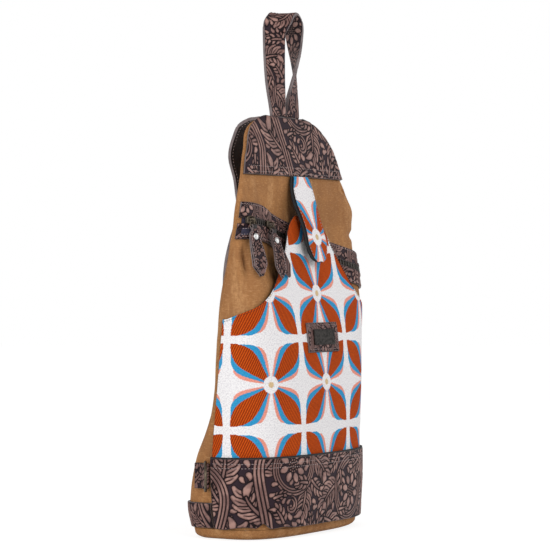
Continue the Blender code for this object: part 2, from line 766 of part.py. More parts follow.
def pull_outline(side_name, fold, along, fall, face, hinge):
    """Leather folded round the bail's lower bar, with a pointed end, and its rivet."""
    neck = BAIL_WIDTH / 2.0 - BAIL_WIRE - 3.0 * BAIL_ROOM
    inner = BAIL_WIRE + BAIL_ROOM
    outer = inner + PULL_THICK / 2.0
    thick = PULL_THICK / 2.0
    half = PULL_WIDTH / 2.0
    top_half = PULL_TOP_WIDTH / 2.0
    steps = 12
    bm = bmesh.new()
    loops = []
    for step in range(steps):
        angle = 2.0 * math.pi * (step + 0.5) / steps
        spoke = fall * math.cos(angle) + face * math.sin(angle)
        loops.append([bm.verts.new(fold + along * across + spoke * reach)
                      for across, reach in ((-neck, inner), (neck, inner), (neck, outer), (-neck, outer))])
    outer_faces = []
    for near, far in zip(loops, loops[1:] + loops[:1]):
        for corner in range(4):
            after = (corner + 1) % 4
            made = bm.faces.new((near[corner], near[after], far[after], far[corner]))
            if corner == 2:
                outer_faces.append(made)
    cap = max(outer_faces, key=lambda item: item.calc_center_median().dot(fall))
    stations = ((0.0034, neck), (0.0068, top_half), ((PULL_LENGTH - PULL_POINT) * 0.6, half * 0.9),
                (PULL_LENGTH - PULL_POINT, half), (PULL_LENGTH, half * 0.12))
    for drop, reach in stations:
        made = bmesh.ops.extrude_face_region(bm, geom=[cap])["geom"]
        bmesh.ops.delete(bm, geom=[cap], context="FACES_ONLY")
        cap = next(item for item in made if isinstance(item, bmesh.types.BMFace))
        for vert in cap.verts:
            offset = vert.co - fold
            vert.co = (fold + fall * drop + along * math.copysign(reach, offset.dot(along))
                       + face * math.copysign(thick, offset.dot(face)))
    finish("zip_pull_" + side_name, bm, leather_look, hinge, 30.0)
    seat = fold + fall * 0.0095 + face * (thick + TOUCH)
    disc("pull_rivet_" + side_name, seat, face, PULL_RIVET, 0.0005, silver_look, parent=hinge,
         dome=0.0011, sides=16)


def make_label():
    """Leather patch on the pocket with a bare metal plate on it."""
    on_pocket = SOFT_GAP + CANVAS + TOUCH
    for name, size, lift, thickness, look, columns, rows in (
            ("label_patch", LABEL_SIZE, on_pocket, LEATHER * 0.8, leather_look, 10, 4),
            ("label_plate", PLATE_SIZE, on_pocket + LEATHER * 0.8 + TOUCH, PLATE_THICK, brass_look, 8, 3)):
        width, tall = size

        def place(across, up):
            arc = LABEL_X + (across - 0.5) * width
            return front_point(arc, LABEL_HEIGHT + (up - 0.5) * tall, lift)

        panel(name, columns, rows, place, thickness, look)


def make_handle():
    """Carry loop: both ends side by side in the top seam, a quarter turn in each strand."""
    steps = 48
    last = len(HANDLE_LINE) - 1
    across = [(index, row[0]) for index, row in enumerate(HANDLE_LINE)]
    heights = [(index, row[1]) for index, row in enumerate(HANDLE_LINE)]
    turns = list(enumerate(HANDLE_TURNS))

    def spot(value):
        return Vector((smooth_between(across, value), HANDLE_Y, smooth_between(heights, value)))

    stations = []
    for step in range(steps + 1):
        value = last * step / steps
        turn = math.radians(smooth_between(turns, value))
        along = (spot(value + TANGENT_STEP) - spot(value - TANGENT_STEP)).normalized()
        side = Vector((math.cos(turn), math.sin(turn), 0.0))
        if 0 < step < steps:
            side = (side - along * side.dot(along)).normalized()
        stations.append((spot(value), HANDLE_WIDTH / 2.0, side))
    strap_sheet("handle_strap", stations, columns=2)


def strap_sheet(name, stations, columns=4):
    """A strap through stations of middle point, half width and direction across."""
    last = len(stations) - 1

    def place(across, up):
        middle, half, side = stations[round(up * last)]
        return middle - side * (across - 0.5) * 2.0 * half

    panel(name, columns, last, place, STRAP_LEATHER, leather_look, offset=0.0)


def smooth_rows(rows, steps, end_side=None):
    """Strap stations read from a smooth curve through rows, turned to end_side at the last."""
    last = len(rows) - 1

    def at(value):
        return [smooth_between([(index, row[column]) for index, row in enumerate(rows)], value)
                for column in range(5)]

    stations = []
    for step in range(steps + 1):
        value = last * step / steps
        x, y, height, half, lift = at(value)
        before = Vector(at(value - TANGENT_STEP)[:3])
        after = Vector(at(value + TANGENT_STEP)[:3])
        along = (after - before).normalized()
        side = along.cross(Vector((0.05, 1.0, lift))).normalized()
        if end_side:
            side = side.lerp(end_side, ease(step / steps)).normalized()
        stations.append((Vector((x, y, height)), half, side))
    return stations


def hairpin(bar, away, side, half):
    """Strap stations from a sewn-down end, round a bar and back out to the strap's face."""
    face = side.cross(away).normalized()
    if face.y < 0.0:
        face.negate()
    radius = SLIDE_WIRE + TOUCH + STRAP_LEATHER / 2.0
    ply = STRAP_LEATHER / 2.0 + TOUCH
    under = [(STRAP_SEWN, -ply), (STRAP_JOIN, -ply), (STRAP_JOIN * 0.45, -radius * 0.95)]
    turn = [(radius * math.cos(math.radians(angle)), radius * math.sin(math.radians(angle)))
            for angle in (-115.0, -145.0, -180.0, -215.0, -245.0)]
    over = [(STRAP_JOIN * 0.45, radius * 0.95), (STRAP_JOIN, ply)]
    return [(bar + away * a + face * b, half, side) for a, b in under + turn + over]


def slide_axes():
    """Middle, direction and side of the wire frame between the two straps."""
    along = Vector(SLIDE_LINE).normalized()
    side = along.cross(Vector((0.05, 1.0, 0.0))).normalized()
    return Vector(SLIDE_PLACE), along, side


def make_shoulder_strap():
    """Wide arched top of the shoulder strap, which narrows down the back to the wire frame."""
    middle, along, side = slide_axes()
    bar = middle - along * SLIDE_HALF
    pin = list(reversed(hairpin(bar, -along, side, STRAP_HALF)))
    strap_sheet("shoulder_strap", smooth_rows(STRAP_ROWS, 34) + pin)


def rounded_loop(middle, along, side, half_long, half_wide):
    """The line of a rectangular wire loop with rounded corners."""
    corner = LOOP_CORNER
    points = []
    for a, b, start in ((1, 1, 0), (-1, 1, 90), (-1, -1, 180), (1, -1, 270)):
        for step in range(4):
            angle = math.radians(start + 30.0 * step)
            reach_long = half_long * a - corner * a + corner * math.cos(angle)
            reach_wide = half_wide * b - corner * b + corner * math.sin(angle)
            points.append(middle + along * reach_long + side * reach_wide)
    return points


def make_strap_slide():
    middle, along, side = slide_axes()
    half_wide = STRAP_HALF + SLIDE_WIRE + STRAP_ROOM
    line = rounded_loop(middle, along, side, SLIDE_HALF, half_wide)
    tube("strap_slide", line, SLIDE_WIRE, brass_look, closed=True)


def ring_wall():
    """How far a ring's axis lies from the bag's middle plane."""
    return rib(RING_HEIGHT)[0] + TOUCH + RING_WIRE + TOUCH + TAB_PLY


def hook_axes():
    """The hook's middle in the right ring's bow, its line, its plane's side and its normal."""
    out = Vector((math.sin(RIGHT_SWING), -math.cos(RIGHT_SWING), 0.0))
    spot = Vector((ring_wall(), RING_AXIS_Y, RING_HEIGHT)) + out * RING_REACH
    line = Vector(HOOK_LINE).normalized()
    normal = Vector((0.0, 0.0, 1.0))
    normal = (normal - line * normal.dot(line)).normalized()
    side = line.cross(normal)
    return spot, line, side, normal


def make_lower_strap():
    """Strap from the wire frame to the swivel eye of the hook."""
    middle, along, side = slide_axes()
    top_bar = middle + along * SLIDE_HALF
    spot, line, _, _ = hook_axes()
    foot_bar = spot + line * (EYE_FOOT + EYE_HEIGHT)
    run = (foot_bar - Vector(LOWER_STRAP_ROWS[-1][:3])).normalized()
    eye_side = eye_axis()
    head = hairpin(top_bar, along, side, STRAP_HALF)
    foot = list(reversed(hairpin(foot_bar, -run, eye_side, STRAP_TIP_HALF)))
    strap_sheet("lower_strap", head + smooth_rows(LOWER_STRAP_ROWS, 8, eye_side) + foot)


def eye_axis():
    """The direction of the swivel eye's bars, square to the hook and to the strap on it."""
    spot, line, _, _ = hook_axes()
    foot_bar = spot + line * (EYE_FOOT + EYE_HEIGHT)
    run = (foot_bar - Vector(LOWER_STRAP_ROWS[-1][:3])).normalized()
    return run.cross(line).normalized()


def gate_place():
    """The point beside the hook's collar about which the gate turns."""
    spot, line, side, _ = hook_axes()
    return spot - side * (COLLAR_RADIUS + GATE_WIRE + TOUCH) + line * (COLLAR_FOOT + TOUCH)


def join_tools(part, tools, operation="UNION"):
    for tool in tools:
        add_modifier(part, "BOOLEAN", operation=operation, object=tool, solver="EXACT")
        tool.hide_render = True
        tool.display_type = "WIRE"


def make_hook():
    """Snap hook: swivel eye on the strap, hook body that turns on it, and sprung gate."""
    spot, line, side, _ = hook_axes()
    make_hook_eye(spot, line)
    make_hook_body(spot, line, side)
    place = gate_place()
    tip = spot - side * HOOK_BOWL + line * (HOOK_TIP + GATE_WIRE + GATE_CLEAR)
    tube("hook_gate", [place, place.lerp(tip, 0.5), tip], GATE_WIRE, brass_look,
         parent=pivot("gate_axis", place))


def make_hook_eye(spot, line):
    """Wire eye for the strap, with a headed post that holds the hook."""
    middle = spot + line * (EYE_FOOT + EYE_HEIGHT / 2.0)
    half_wide = STRAP_TIP_HALF + SLIDE_WIRE + STRAP_ROOM
    loop = rounded_loop(middle, line, eye_axis(), EYE_HEIGHT / 2.0, half_wide)
    eye = tube("hook_eye", loop, SLIDE_WIRE, brass_look, closed=True)
    head_foot = COLLAR_FOOT - POST_CLEAR - POST_HEAD
    post_foot = head_foot + POST_HEAD / 2.0
    post = disc("post_tool", spot + line * post_foot, line, POST_RADIUS, EYE_FOOT - post_foot,
                brass_look, sides=12)
    head = disc("post_head_tool", spot + line * head_foot, line, POST_RADIUS + POST_HEAD, POST_HEAD,
                brass_look, sides=12)
    join_tools(eye, [post, head])


def make_hook_body(spot, line, side):
    """Wire hook with a bored collar, which turns on the post."""
    turn = pivot("hook_turn", spot)
    neck = COLLAR_FOOT + COLLAR_HEIGHT / 2.0
    points = [spot + line * neck + side * (COLLAR_RADIUS - 2.0 * TOUCH),
              spot + line * neck + side * (HOOK_BOWL - 2.0 * TOUCH),
              spot + line * (neck - SHANK_BEND) + side * HOOK_BOWL,
              spot + line * SHANK_FOOT + side * HOOK_BOWL]
    for step in range(15):
        angle = math.radians(-180.0 * step / 14.0)
        points.append(spot + side * HOOK_BOWL * math.cos(angle) + line * HOOK_BOWL * math.sin(angle))
    points.append(spot - side * HOOK_BOWL + line * HOOK_TIP)
    body = tube("hook_body", points, HOOK_WIRE, brass_look, parent=turn, sides=8)
    collar = disc("collar_tool", spot + line * COLLAR_FOOT, line, COLLAR_RADIUS, COLLAR_HEIGHT,
                  brass_look, parent=turn, sides=16)
    bore = disc("collar_bore_tool", spot + line * (COLLAR_FOOT - POST_RADIUS), line,
                POST_RADIUS + POST_CLEAR, COLLAR_HEIGHT + 2.0 * POST_RADIUS, brass_look, parent=turn,
                sides=12)
    join_tools(body, [collar])
    join_tools(body, [bore], "DIFFERENCE")


def ring_points(axis_place, out, bar, reach):
    """A D-ring's line: a straight bar on the axis and a bow that stands out from it."""
    half = bar / 2.0
    points = []
    for step in range(4):
        points.append(axis_place + Vector((0.0, 0.0, -half + bar * step / 3.0)))
    for step in range(1, 14):
        angle = math.pi / 2.0 - math.pi * step / 14.0
        share_out = math.cos(angle)
        points.append(axis_place + out * reach * (share_out ** 0.8) + Vector((0.0, 0.0, half * math.sin(angle))))
    return points


def make_ring(side, side_name, swing):
    """Leather ring tab sewn to the gusset, and the D-ring that turns in its fold."""
    axis = Vector((side * ring_wall(), RING_AXIS_Y, RING_HEIGHT))
    hinge = pivot("ring_axis_" + side_name, axis)
    out = Vector((side * math.sin(swing), -math.cos(swing), 0.0))
    tube("d_ring_" + side_name, ring_points(axis, out, RING_BAR, RING_REACH), RING_WIRE, brass_look,
         closed=True, parent=hinge, sides=8)
    make_ring_tab(side, side_name, axis)


def make_ring_tab(side, side_name, axis):
    """A loop of leather round the ring's bar, its two plies sewn flat towards the back."""
    inner = RING_WIRE + TOUCH
    outer = inner + TAB_PLY
    outline = [(-outer * math.sin(math.pi * step / 8.0), outer * math.cos(math.pi * step / 8.0))
               for step in range(9)]
    outline += [(TAB_SEWN_LENGTH, -outer), (TAB_SEWN_LENGTH, 2.0 * TAB_PLY - outer)]
    outline += [(outer * 1.5, 2.0 * TAB_PLY - outer), (outer * 0.7, outer * 0.7)]
    rings = []
    for height in (-TAB_HEIGHT / 2.0, TAB_HEIGHT / 2.0):
        rings.append([Vector((axis.x + side * b, axis.y + a, axis.z + height)) for a, b in outline])
    tab = loft("ring_tab_" + side_name, rings, leather_look, sharp_degrees=30.0)
    bore = disc("tab_bore_tool_" + side_name, axis - Vector((0.0, 0.0, RING_BAR)),
                Vector((0.0, 0.0, 1.0)), inner, 2.0 * RING_BAR, dark_look, sides=16)
    join_tools(tab, [bore], "DIFFERENCE")


def build():
    for thing in list(bpy.data.objects):
        bpy.data.objects.remove(thing, do_unlink=True)
    make_body()
    make_base()
    make_front_yoke()
    make_lower_band()
    make_corner(-1.0, "corner_left")
    make_corner(1.0, "corner_right")
    make_zip()
    for side_name, run in zip(("left", "right"), SLIDER_RUNS):
        make_slider(side_name, run)
    make_pocket()
    make_closure_tab()
    make_snap()
    make_label()
    make_handle()
    make_shoulder_strap()
    make_strap_slide()
    make_lower_strap()
    make_ring(-1.0, "left", LEFT_SWING)
    make_ring(1.0, "right", RIGHT_SWING)
    make_hook()


build()
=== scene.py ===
"""Dresses the CAD frame of a tall sling backpack: waxed canvas, tooled leather, jacquard cloth.

Metres, +Z up. The bag's front faces -Y and its base stands on the origin.
"""

import math
from bisect import bisect_right

import bmesh
import bpy
import numpy
from bpy.props import FloatProperty, FloatVectorProperty
from mathutils import Matrix, Vector, noise


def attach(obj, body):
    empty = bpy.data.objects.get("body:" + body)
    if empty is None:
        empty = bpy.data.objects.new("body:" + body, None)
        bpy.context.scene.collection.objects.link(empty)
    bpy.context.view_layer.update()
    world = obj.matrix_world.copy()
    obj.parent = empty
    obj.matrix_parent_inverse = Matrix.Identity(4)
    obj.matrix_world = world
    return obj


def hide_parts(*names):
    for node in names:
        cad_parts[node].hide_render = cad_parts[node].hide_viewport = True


bl_info = {
    "name": "Sling backpack",
    "version": (1, 0, 0),
    "blender": (4, 5, 0),
    "location": "View3D > Sidebar > Sling backpack",
    "description": "Dresses a tall sling backpack of canvas, tooled leather and jacquard cloth",
    "category": "Object",
}

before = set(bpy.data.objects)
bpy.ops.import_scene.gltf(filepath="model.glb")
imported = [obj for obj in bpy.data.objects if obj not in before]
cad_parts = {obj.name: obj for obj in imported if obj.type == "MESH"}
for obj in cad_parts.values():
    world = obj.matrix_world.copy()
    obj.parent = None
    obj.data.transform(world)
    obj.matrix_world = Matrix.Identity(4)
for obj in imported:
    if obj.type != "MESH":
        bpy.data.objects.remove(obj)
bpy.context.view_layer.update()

# The frame's own measures, repeated from its source
TOUCH = 0.0004
SOFT_GAP = 0.0007
CANVAS = 0.0014
LEATHER = 0.0018
STRAP_LEATHER = 0.0030
BAND_FOOT = 0.0100
BAND_TOP = 0.0760
CORNER_TOP = 0.0340
CORNER_NEAR = 0.0003
CORNER_FAR = 0.36
SEAM_EDGE = 0.0010
YOKE_SEAM_GAP = 0.0014
POCKET_SEAM_GAP = 0.0015
POCKET_SIDE_TOP = 0.2050
POCKET_FOOT = 0.0640
POCKET_PEAK = 0.3020
YOKE_SEAM = 0.3400
BODY_TOP = 0.3970
# Height, half width, y of the side seam, of the front and of the back, squareness of both halves
RIBS = (
    (BAND_FOOT, 0.1030, 0.0080, -0.0455, 0.0465, 3.2, 5.0),
    (0.0280, 0.1055, 0.0100, -0.0475, 0.0495, 3.0, 5.0),
    (0.0500, 0.1070, 0.0110, -0.0485, 0.0490, 3.0, 4.4),
    (BAND_TOP, 0.1080, 0.0110, -0.0488, 0.0440, 2.9, 3.6),
    (0.1100, 0.1080, 0.0085, -0.0485, 0.0350, 2.8, 2.8),
    (0.1450, 0.1080, 0.0050, -0.0475, 0.0290, 2.8, 2.3),
    (0.1870, 0.1075, 0.0015, -0.0435, 0.0245, 3.4, 2.1),
    (0.2270, 0.1070, -0.0025, -0.0370, 0.0205, 5.0, 2.1),
    (0.2520, 0.1065, -0.0070, -0.0322, 0.0165, 4.6, 2.1),
    (0.2830, 0.1060, -0.0130, -0.0265, 0.0080, 3.2, 2.2),
    (0.3100, 0.1050, -0.0160, -0.0212, 0.0000, 2.8, 2.4),
    (0.3290, 0.0980, -0.0140, -0.0176, -0.0020, 2.4, 2.4),
    (YOKE_SEAM, 0.0925, -0.0118, -0.0157, -0.0027, 2.2, 2.4),
    (0.3560, 0.0845, -0.0085, -0.0125, -0.0015, 2.2, 2.4),
    (0.3680, 0.0770, -0.0065, -0.0105, -0.0005, 2.2, 2.4),
    (0.3790, 0.0680, -0.0045, -0.0085, 0.0005, 2.2, 2.4),
    (0.3880, 0.0570, -0.0030, -0.0070, 0.0015, 2.2, 2.4),
    (0.3940, 0.0430, -0.0020, -0.0055, 0.0020, 2.2, 2.4),
    (BODY_TOP, 0.0290, -0.0010, -0.0045, 0.0022, 2.2, 2.4),
)
DENT = 0.0080
DENT_FOOT = 0.1150
DENT_FOOT_FADE = 0.0500
DENT_HEAD = 0.3360
DENT_HEAD_FADE = 0.0380
DENT_CORE = 0.0420
DENT_HALF = 0.0960
# Arc length and height of the zip's middle
ZIP_LINE = ((-0.1150, 0.2962), (-0.0950, 0.2962), (-0.0670, 0.2938), (-0.0460, 0.2874),
            (-0.0200, 0.2802), (0.0300, 0.2680), (0.0700, 0.2580), (0.1150, 0.2470))
ZIP_SEAM_GAP = 0.0044
TAPE_THICK = 0.0008
FACING_WIDTH = 0.0120
TAPE_WIDTH = 0.0094
CHAIN_HEIGHT = 0.0016
SLIDER_RUNS = (0.0074, 0.0416)
SLIDER_THICK = 0.0018
CROWN_HEIGHT = 0.0046
CROWN_ARCH = 0.6
BAIL_WIRE = 0.0007
BAIL_WIDTH = 0.0084
BAIL_LENGTH = 0.0062
BAIL_ROOM = 0.0003
PULL_WIDTH = 0.0176
PULL_TOP_WIDTH = 0.0120
PULL_LENGTH = 0.0465
PULL_POINT = 0.0100
PULL_THICK = 0.0026
PULL_REST_DROP = 0.0520
PULL_CLEAR = 0.0034
# The pocket's curved side, from its peak down: distance from the middle line, and height
POCKET_EDGE = ((0.0235, POCKET_PEAK), (0.0350, 0.2955), (0.0430, 0.2875), (0.0475, 0.2800),
               (0.0520, 0.2715), (0.0660, 0.2520), (0.0785, 0.2345), (0.0960, 0.2195),
               (0.1110, 0.2120), (0.1290, POCKET_SIDE_TOP))
# The closure tab: height and half width
TAB_EDGE = ((YOKE_SEAM, 0.0140), (0.3270, 0.0185), (0.3130, 0.0190), (0.3000, 0.0175),
            (0.2850, 0.0170), (0.2740, 0.0176), (0.2680, 0.0162), (0.2600, 0.0115),
            (0.2565, 0.0050))
SNAP_HEIGHT = 0.2740
# How far its back stands off the pocket: share of the way down to the snap, and distance
TAB_RISE = ((0.0, 0.0006), (0.27, 0.0012), (0.45, 0.0024), (0.60, 0.0042), (0.80, 0.0062),
            (1.0, 0.0070), (1.27, 0.0074))
TAB_THICK = 0.0026
LABEL_X = -0.0020
LABEL_HEIGHT = 0.1865
LABEL_SIZE = (0.0560, 0.0275)
# The carry loop's strand: x and height, then its turn in degrees at each of them
HANDLE_LINE = (
    (-0.0120, 0.3975), (-0.0140, 0.4120), (-0.0172, 0.4300), (-0.0187, 0.4460),
    (-0.0193, 0.4600), (-0.0193, 0.4750), (-0.0178, 0.4850), (-0.0130, 0.4925),
    (-0.0050, 0.4966), (0.0045, 0.4962), (0.0128, 0.4912), (0.0177, 0.4820),
    (0.0194, 0.4680), (0.0202, 0.4540), (0.0194, 0.4400), (0.0170, 0.4250),
    (0.0142, 0.4100), (0.0132, 0.3975),
)
HANDLE_TURNS = (0.0, -6.0, -14.0, -19.0, -22.0, -26.0, -35.0, -50.0, -66.0,
                -79.0, -93.0, -106.0, -119.0, -134.0, -149.0, -163.0, -175.0, -180.0)
HANDLE_WIDTH = 0.0240
HANDLE_Y = -0.0028
# Stations of the shoulder strap and the lower strap: x, y, height, half width and lean
STRAP_ROWS = (
    (0.0000, 0.0032, 0.3950, 0.0380, 4.0), (0.0000, 0.0105, 0.3925, 0.0500, 3.0),
    (0.0000, 0.0195, 0.3850, 0.0560, 1.0), (0.0000, 0.0262, 0.3720, 0.0530, 0.3),
    (0.0000, 0.0290, 0.3550, 0.0450, 0.0), (0.0000, 0.0300, 0.3350, 0.0350, 0.0),
    (0.0000, 0.0345, 0.3130, 0.0260, 0.0), (0.0000, 0.0410, 0.2900, 0.0210, 0.0),
    (0.0000, 0.0475, 0.2650, 0.0190, 0.0), (0.0005, 0.0510, 0.2400, 0.0190, 0.0),
    (0.0018, 0.0535, 0.2150, 0.0190, 0.0), (0.0055, 0.0555, 0.1930, 0.0190, 0.0),
)
LOWER_STRAP_ROWS = (
    (0.0400, 0.0615, 0.1240, 0.0190, 0.0), (0.0560, 0.0635, 0.1120, 0.0175, 0.0),
    (0.0720, 0.0650, 0.0990, 0.0130, 0.0), (0.0860, 0.0660, 0.0870, 0.0110, 0.0),
)
STRAP_TIP_HALF = 0.0110
STRAP_HALF = 0.0190
STRAP_SEWN = 0.0135
SLIDE_PLACE = (0.0200, 0.0565, 0.1560)
SLIDE_LINE = (0.4580, 0.0980, -0.8830)
SLIDE_HALF = 0.0080
SLIDE_WIRE = 0.0014
HOOK_LINE = (-0.6200, 0.7400, 0.2600)
EYE_FOOT = 0.0245
EYE_HEIGHT = 0.0090
RING_HEIGHT = 0.0595
RING_REACH = 0.0190
RING_WIRE = 0.0016
RING_AXIS_Y = 0.0158
RIGHT_SWING = 2.29
TAB_PLY = 0.0015
TAB_HEIGHT = 0.0235
TAB_SEWN_LENGTH = 0.0125

# Tooled pattern: what it repeats over, its working step, how far its strokes are raised,
# the spacing of a tooled sheet's points, and the distance read where no stroke is near
TOOL_TILE = (0.1080, 0.0680)
TOOL_STEP = 0.00025
TOOL_RISE = 0.00035
TOOL_PITCH = 0.00062
TOOL_FAR = 0.01
# Distance given to a sheet's own edge, where no stroke is raised, and the width of a stroke's slope
TOOL_BARE = 0.0006
TOOL_SLOPE = 0.0008
# Steps along a leaf's rib and along a scroll
LEAF_STEPS = 24
SCROLL_STEPS = 72

# Jacquard and canvas: height of a flower's middle on the pocket and on the closure tab, spacing
# of the threads and of the twill lines
LATTICE_RISE = 0.1443
TAB_FLOWER = 0.2800
WEAVE_PITCH = 0.0011
TWILL_PITCH = 0.0020

# Threads, and how far over the front skin they lie on cloth and on tooled leather
THREAD_RADIUS = 0.00032
THREAD_LIFT = TOOL_RISE * 0.8
CLOTH_FACE = SOFT_GAP + CANVAS
LEATHER_FACE = SOFT_GAP + LEATHER + THREAD_LIFT

# Finishes of a sheet's face, back and cut edge
TOOLED = ("tooled", "back", "edge")
DULL_TOOLED = ("dull_tooled", "back", "edge")
BOUND_JACQUARD = ("jacquard", "binding", "binding")

# Folds of the front canvas: depth, arc and its reach, height and its reach
FOLDS = ((-0.0075, -0.1035, 0.0065, 0.258, 0.022), (0.0026, -0.0920, 0.0075, 0.254, 0.034),
         (0.0014, -0.1130, 0.0060, 0.250, 0.034), (0.0009, -0.0780, 0.0050, 0.328, 0.010))
# Pinches at its right seam: depth, height and its reach, and how far they run in from the seam
PINCHES = ((-0.0030, 0.3310, 0.0070, 0.030), (-0.0026, 0.2855, 0.0065, 0.030),
           (0.0014, 0.3090, 0.0140, 0.025))
# How the soft shoulder strap leaves the frame's: height and its reach, shift in y, half width lost
STRAP_SHIFTS = ((0.252, 0.050, 0.0030), (0.381, 0.024, -0.0032))
STRAP_NARROWS = ((0.304, 0.024, 0.0035), (0.378, 0.026, 0.0045))
# Turns of each pull's front and back ply, which have spread apart
PULL_TURNS = {"left": (0.14, 0.11), "right": (-0.13, 0.33)}
# The uneven foot of the band's left side: rise, arc and its reach
BAND_WAVES = ((0.0022, -0.1080, 0.0200), (0.0050, -0.0910, 0.0075), (0.0012, -0.0700, 0.0160),
              (-0.0006, 0.0500, 0.0500))
# How far the zip's facings keep from its middle, and reach past the ends of its tape
FACING_CLEAR = 0.0027
FACING_LONGER = 0.0028
# From the label's edge to its stitches
LABEL_INSET = 0.0024

# Camera and picture, worked out from the photograph
PICTURE = 550.0
LENS_PIXELS = 2385.0
SHIFT_PIXELS = -7.0
CAMERA_TURN = math.radians(-59.0)
CAMERA_REACH = 2.30
CAMERA_HEIGHT = 0.246
LAMP_AIM = Vector((0.0, 0.0, 0.22))


def smooth_between(stations, height):
    """A value read from a smooth curve through (height, value) stations."""
    rising = sorted(stations)
    if height <= rising[0][0]:
        return rising[0][1]
    if height >= rising[-1][0]:
        return rising[-1][1]
    index = max(i for i in range(len(rising) - 1) if rising[i][0] <= height)

    def slope(i):
        low = rising[max(i - 1, 0)]
        high = rising[min(i + 1, len(rising) - 1)]
        return (high[1] - low[1]) / (high[0] - low[0])

    (z0, v0), (z1, v1) = rising[index], rising[index + 1]
    span = z1 - z0
    t = (height - z0) / span
    near = (2 * t ** 3 - 3 * t ** 2 + 1) * v0 + (t ** 3 - 2 * t ** 2 + t) * span * slope(index)
    far = (3 * t ** 2 - 2 * t ** 3) * v1 + (t ** 3 - t ** 2) * span * slope(index + 1)
    return near + far


def ease(value):
    """0 below 0, 1 above 1, smooth between."""
    t = min(max(value, 0.0), 1.0)
    return t * t * (3.0 - 2.0 * t)


def ramp(value, bend=0.2):
    """0 below 0, 1 above 1, straight between, with both ends rounded."""
    t = min(max(value, 0.0), 1.0)
    if t < bend:
        rise = t * t / (2.0 * bend)
    elif t > 1.0 - bend:
        rise = 1.0 - bend - (1.0 - t) ** 2 / (2.0 * bend)
    else:
        rise = t - bend / 2.0
    return rise / (1.0 - bend)


def bump(value, middle, reach):
    """A smooth hill of height 1 at middle, and nothing past reach."""
    share = abs(value - middle) / reach
    return 1.0 - ease(share) if share < 1.0 else 0.0


RIB_CACHE = {}


def rib(height):
    """Half width, seam y, front y, back y and both squarenesses at a height."""
    key = round(height, 6)
    if key not in RIB_CACHE:
        RIB_CACHE[key] = [smooth_between([(row[0], row[column]) for row in RIBS], height)
                          for column in range(1, 7)]
    return RIB_CACHE[key]


OUTLINE_STEP = 0.0005
OUTLINE_ROWS = {}


def outline_row(index):
    """The front half section at one step of height: x, y and the arc length from its middle."""
    if index not in OUTLINE_ROWS:
        half_width, seam_y, front_y, _, power, _ = rib(index * OUTLINE_STEP)
        angles = numpy.linspace(0.0, math.pi, 241)
        across = -numpy.sign(numpy.cos(angles)) * numpy.abs(numpy.cos(angles)) ** (2.0 / power)
        depth = numpy.maximum(numpy.sin(angles), 0.0) ** (2.0 / power)
        x = half_width * across
        y = seam_y + (front_y - seam_y) * depth
        steps = numpy.hypot(numpy.diff(x), numpy.diff(y))
        lengths = numpy.concatenate(([0.0], numpy.cumsum(steps)))
        OUTLINE_ROWS[index] = (x.tolist(), y.tolist(), (lengths - lengths[-1] / 2.0).tolist())
    return OUTLINE_ROWS[index]


def outline_spot(arc, index):
    """The point of such a section at an arc length from its middle."""
    xs, ys, lengths = outline_row(index)
    arc = min(max(arc, lengths[0]), lengths[-1])
    low = min(bisect_right(lengths, arc) - 1, len(lengths) - 2)
    share = (arc - lengths[low]) / (lengths[low + 1] - lengths[low])
    return xs[low] + (xs[low + 1] - xs[low]) * share, ys[low] + (ys[low + 1] - ys[low]) * share


def shoulder(x, height):
    """How far the soft upper corners stand out beyond the frame's arch."""
    left = 0.0062 * bump(height, 0.387, 0.026) * ease(-x / 0.055)
    return 0.0055 * bump(height, 0.370, 0.034) * ease(x / 0.060) - left


def front_half_arc(height):
    """Arc length of the front skin from its middle line to a side seam."""
    index, share = divmod(height / OUTLINE_STEP, 1.0)
    low, high = outline_row(int(index))[2][-1], outline_row(int(index) + 1)[2][-1]
    return low + (high - low) * share


def on_front(arc, height):
    """The point of the front skin at an arc length from its middle line."""
    index, share = divmod(height / OUTLINE_STEP, 1.0)
    (x0, y0), (x1, y1) = outline_spot(arc, int(index)), outline_spot(arc, int(index) + 1)
    x = x0 + (x1 - x0) * share
    return Vector((x + shoulder(x, height), y0 + (y1 - y0) * share, height))


def front_normal(arc, height):
    """The outward direction of the front skin."""
    small = 0.0015
    reach = front_half_arc(height) - small
    arc = min(max(arc, -reach), reach)
    low = max(height - small, RIBS[0][0])
    high = min(height + small, BODY_TOP)
    across = on_front(arc + small, height) - on_front(arc - small, height)
    up = on_front(arc, high) - on_front(arc, low)
    return across.cross(up).normalized()


def dent_at(x, height):
    """How far the canvas lies behind the front skin, where the pocket covers it."""
    across = 1.0 - ramp((abs(x) - DENT_CORE) / (DENT_HALF - DENT_CORE))
    up = ease((height - DENT_FOOT) / DENT_FOOT_FADE) * ease((DENT_HEAD - height) / DENT_HEAD_FADE)
    return DENT * across * up


def front_point(arc, height, lift=0.0, dented=False):
    """A point this far out from the front skin, or from the canvas dented behind the pocket."""
    skin = on_front(arc, height)
    if dented:
        lift -= dent_at(skin.x, height)
    return skin + front_normal(arc, height) * lift


def on_back(share, height, lift):
    """A point of the back half, share 0 at the left seam and 1 at the right one."""
    half_width, seam_y, _, back_y, _, power = rib(height)

    def spot(value):
        angle = math.pi * value
        across = -math.copysign(abs(math.cos(angle)) ** (2.0 / power), math.cos(angle))
        depth = max(math.sin(angle), 0.0) ** (2.0 / power)
        x = half_width * across
        return Vector((x + shoulder(x, height), seam_y + (back_y - seam_y) * depth, height))

    along = spot(min(share + 0.004, 1.0)) - spot(max(share - 0.004, 0.0))
    out = Vector((-along.y, along.x, 0.0)).normalized()
    return spot(share) + out * lift


def zip_height(arc):
    """Height of the middle of the zip at an arc length."""
    return smooth_between(ZIP_LINE, arc)


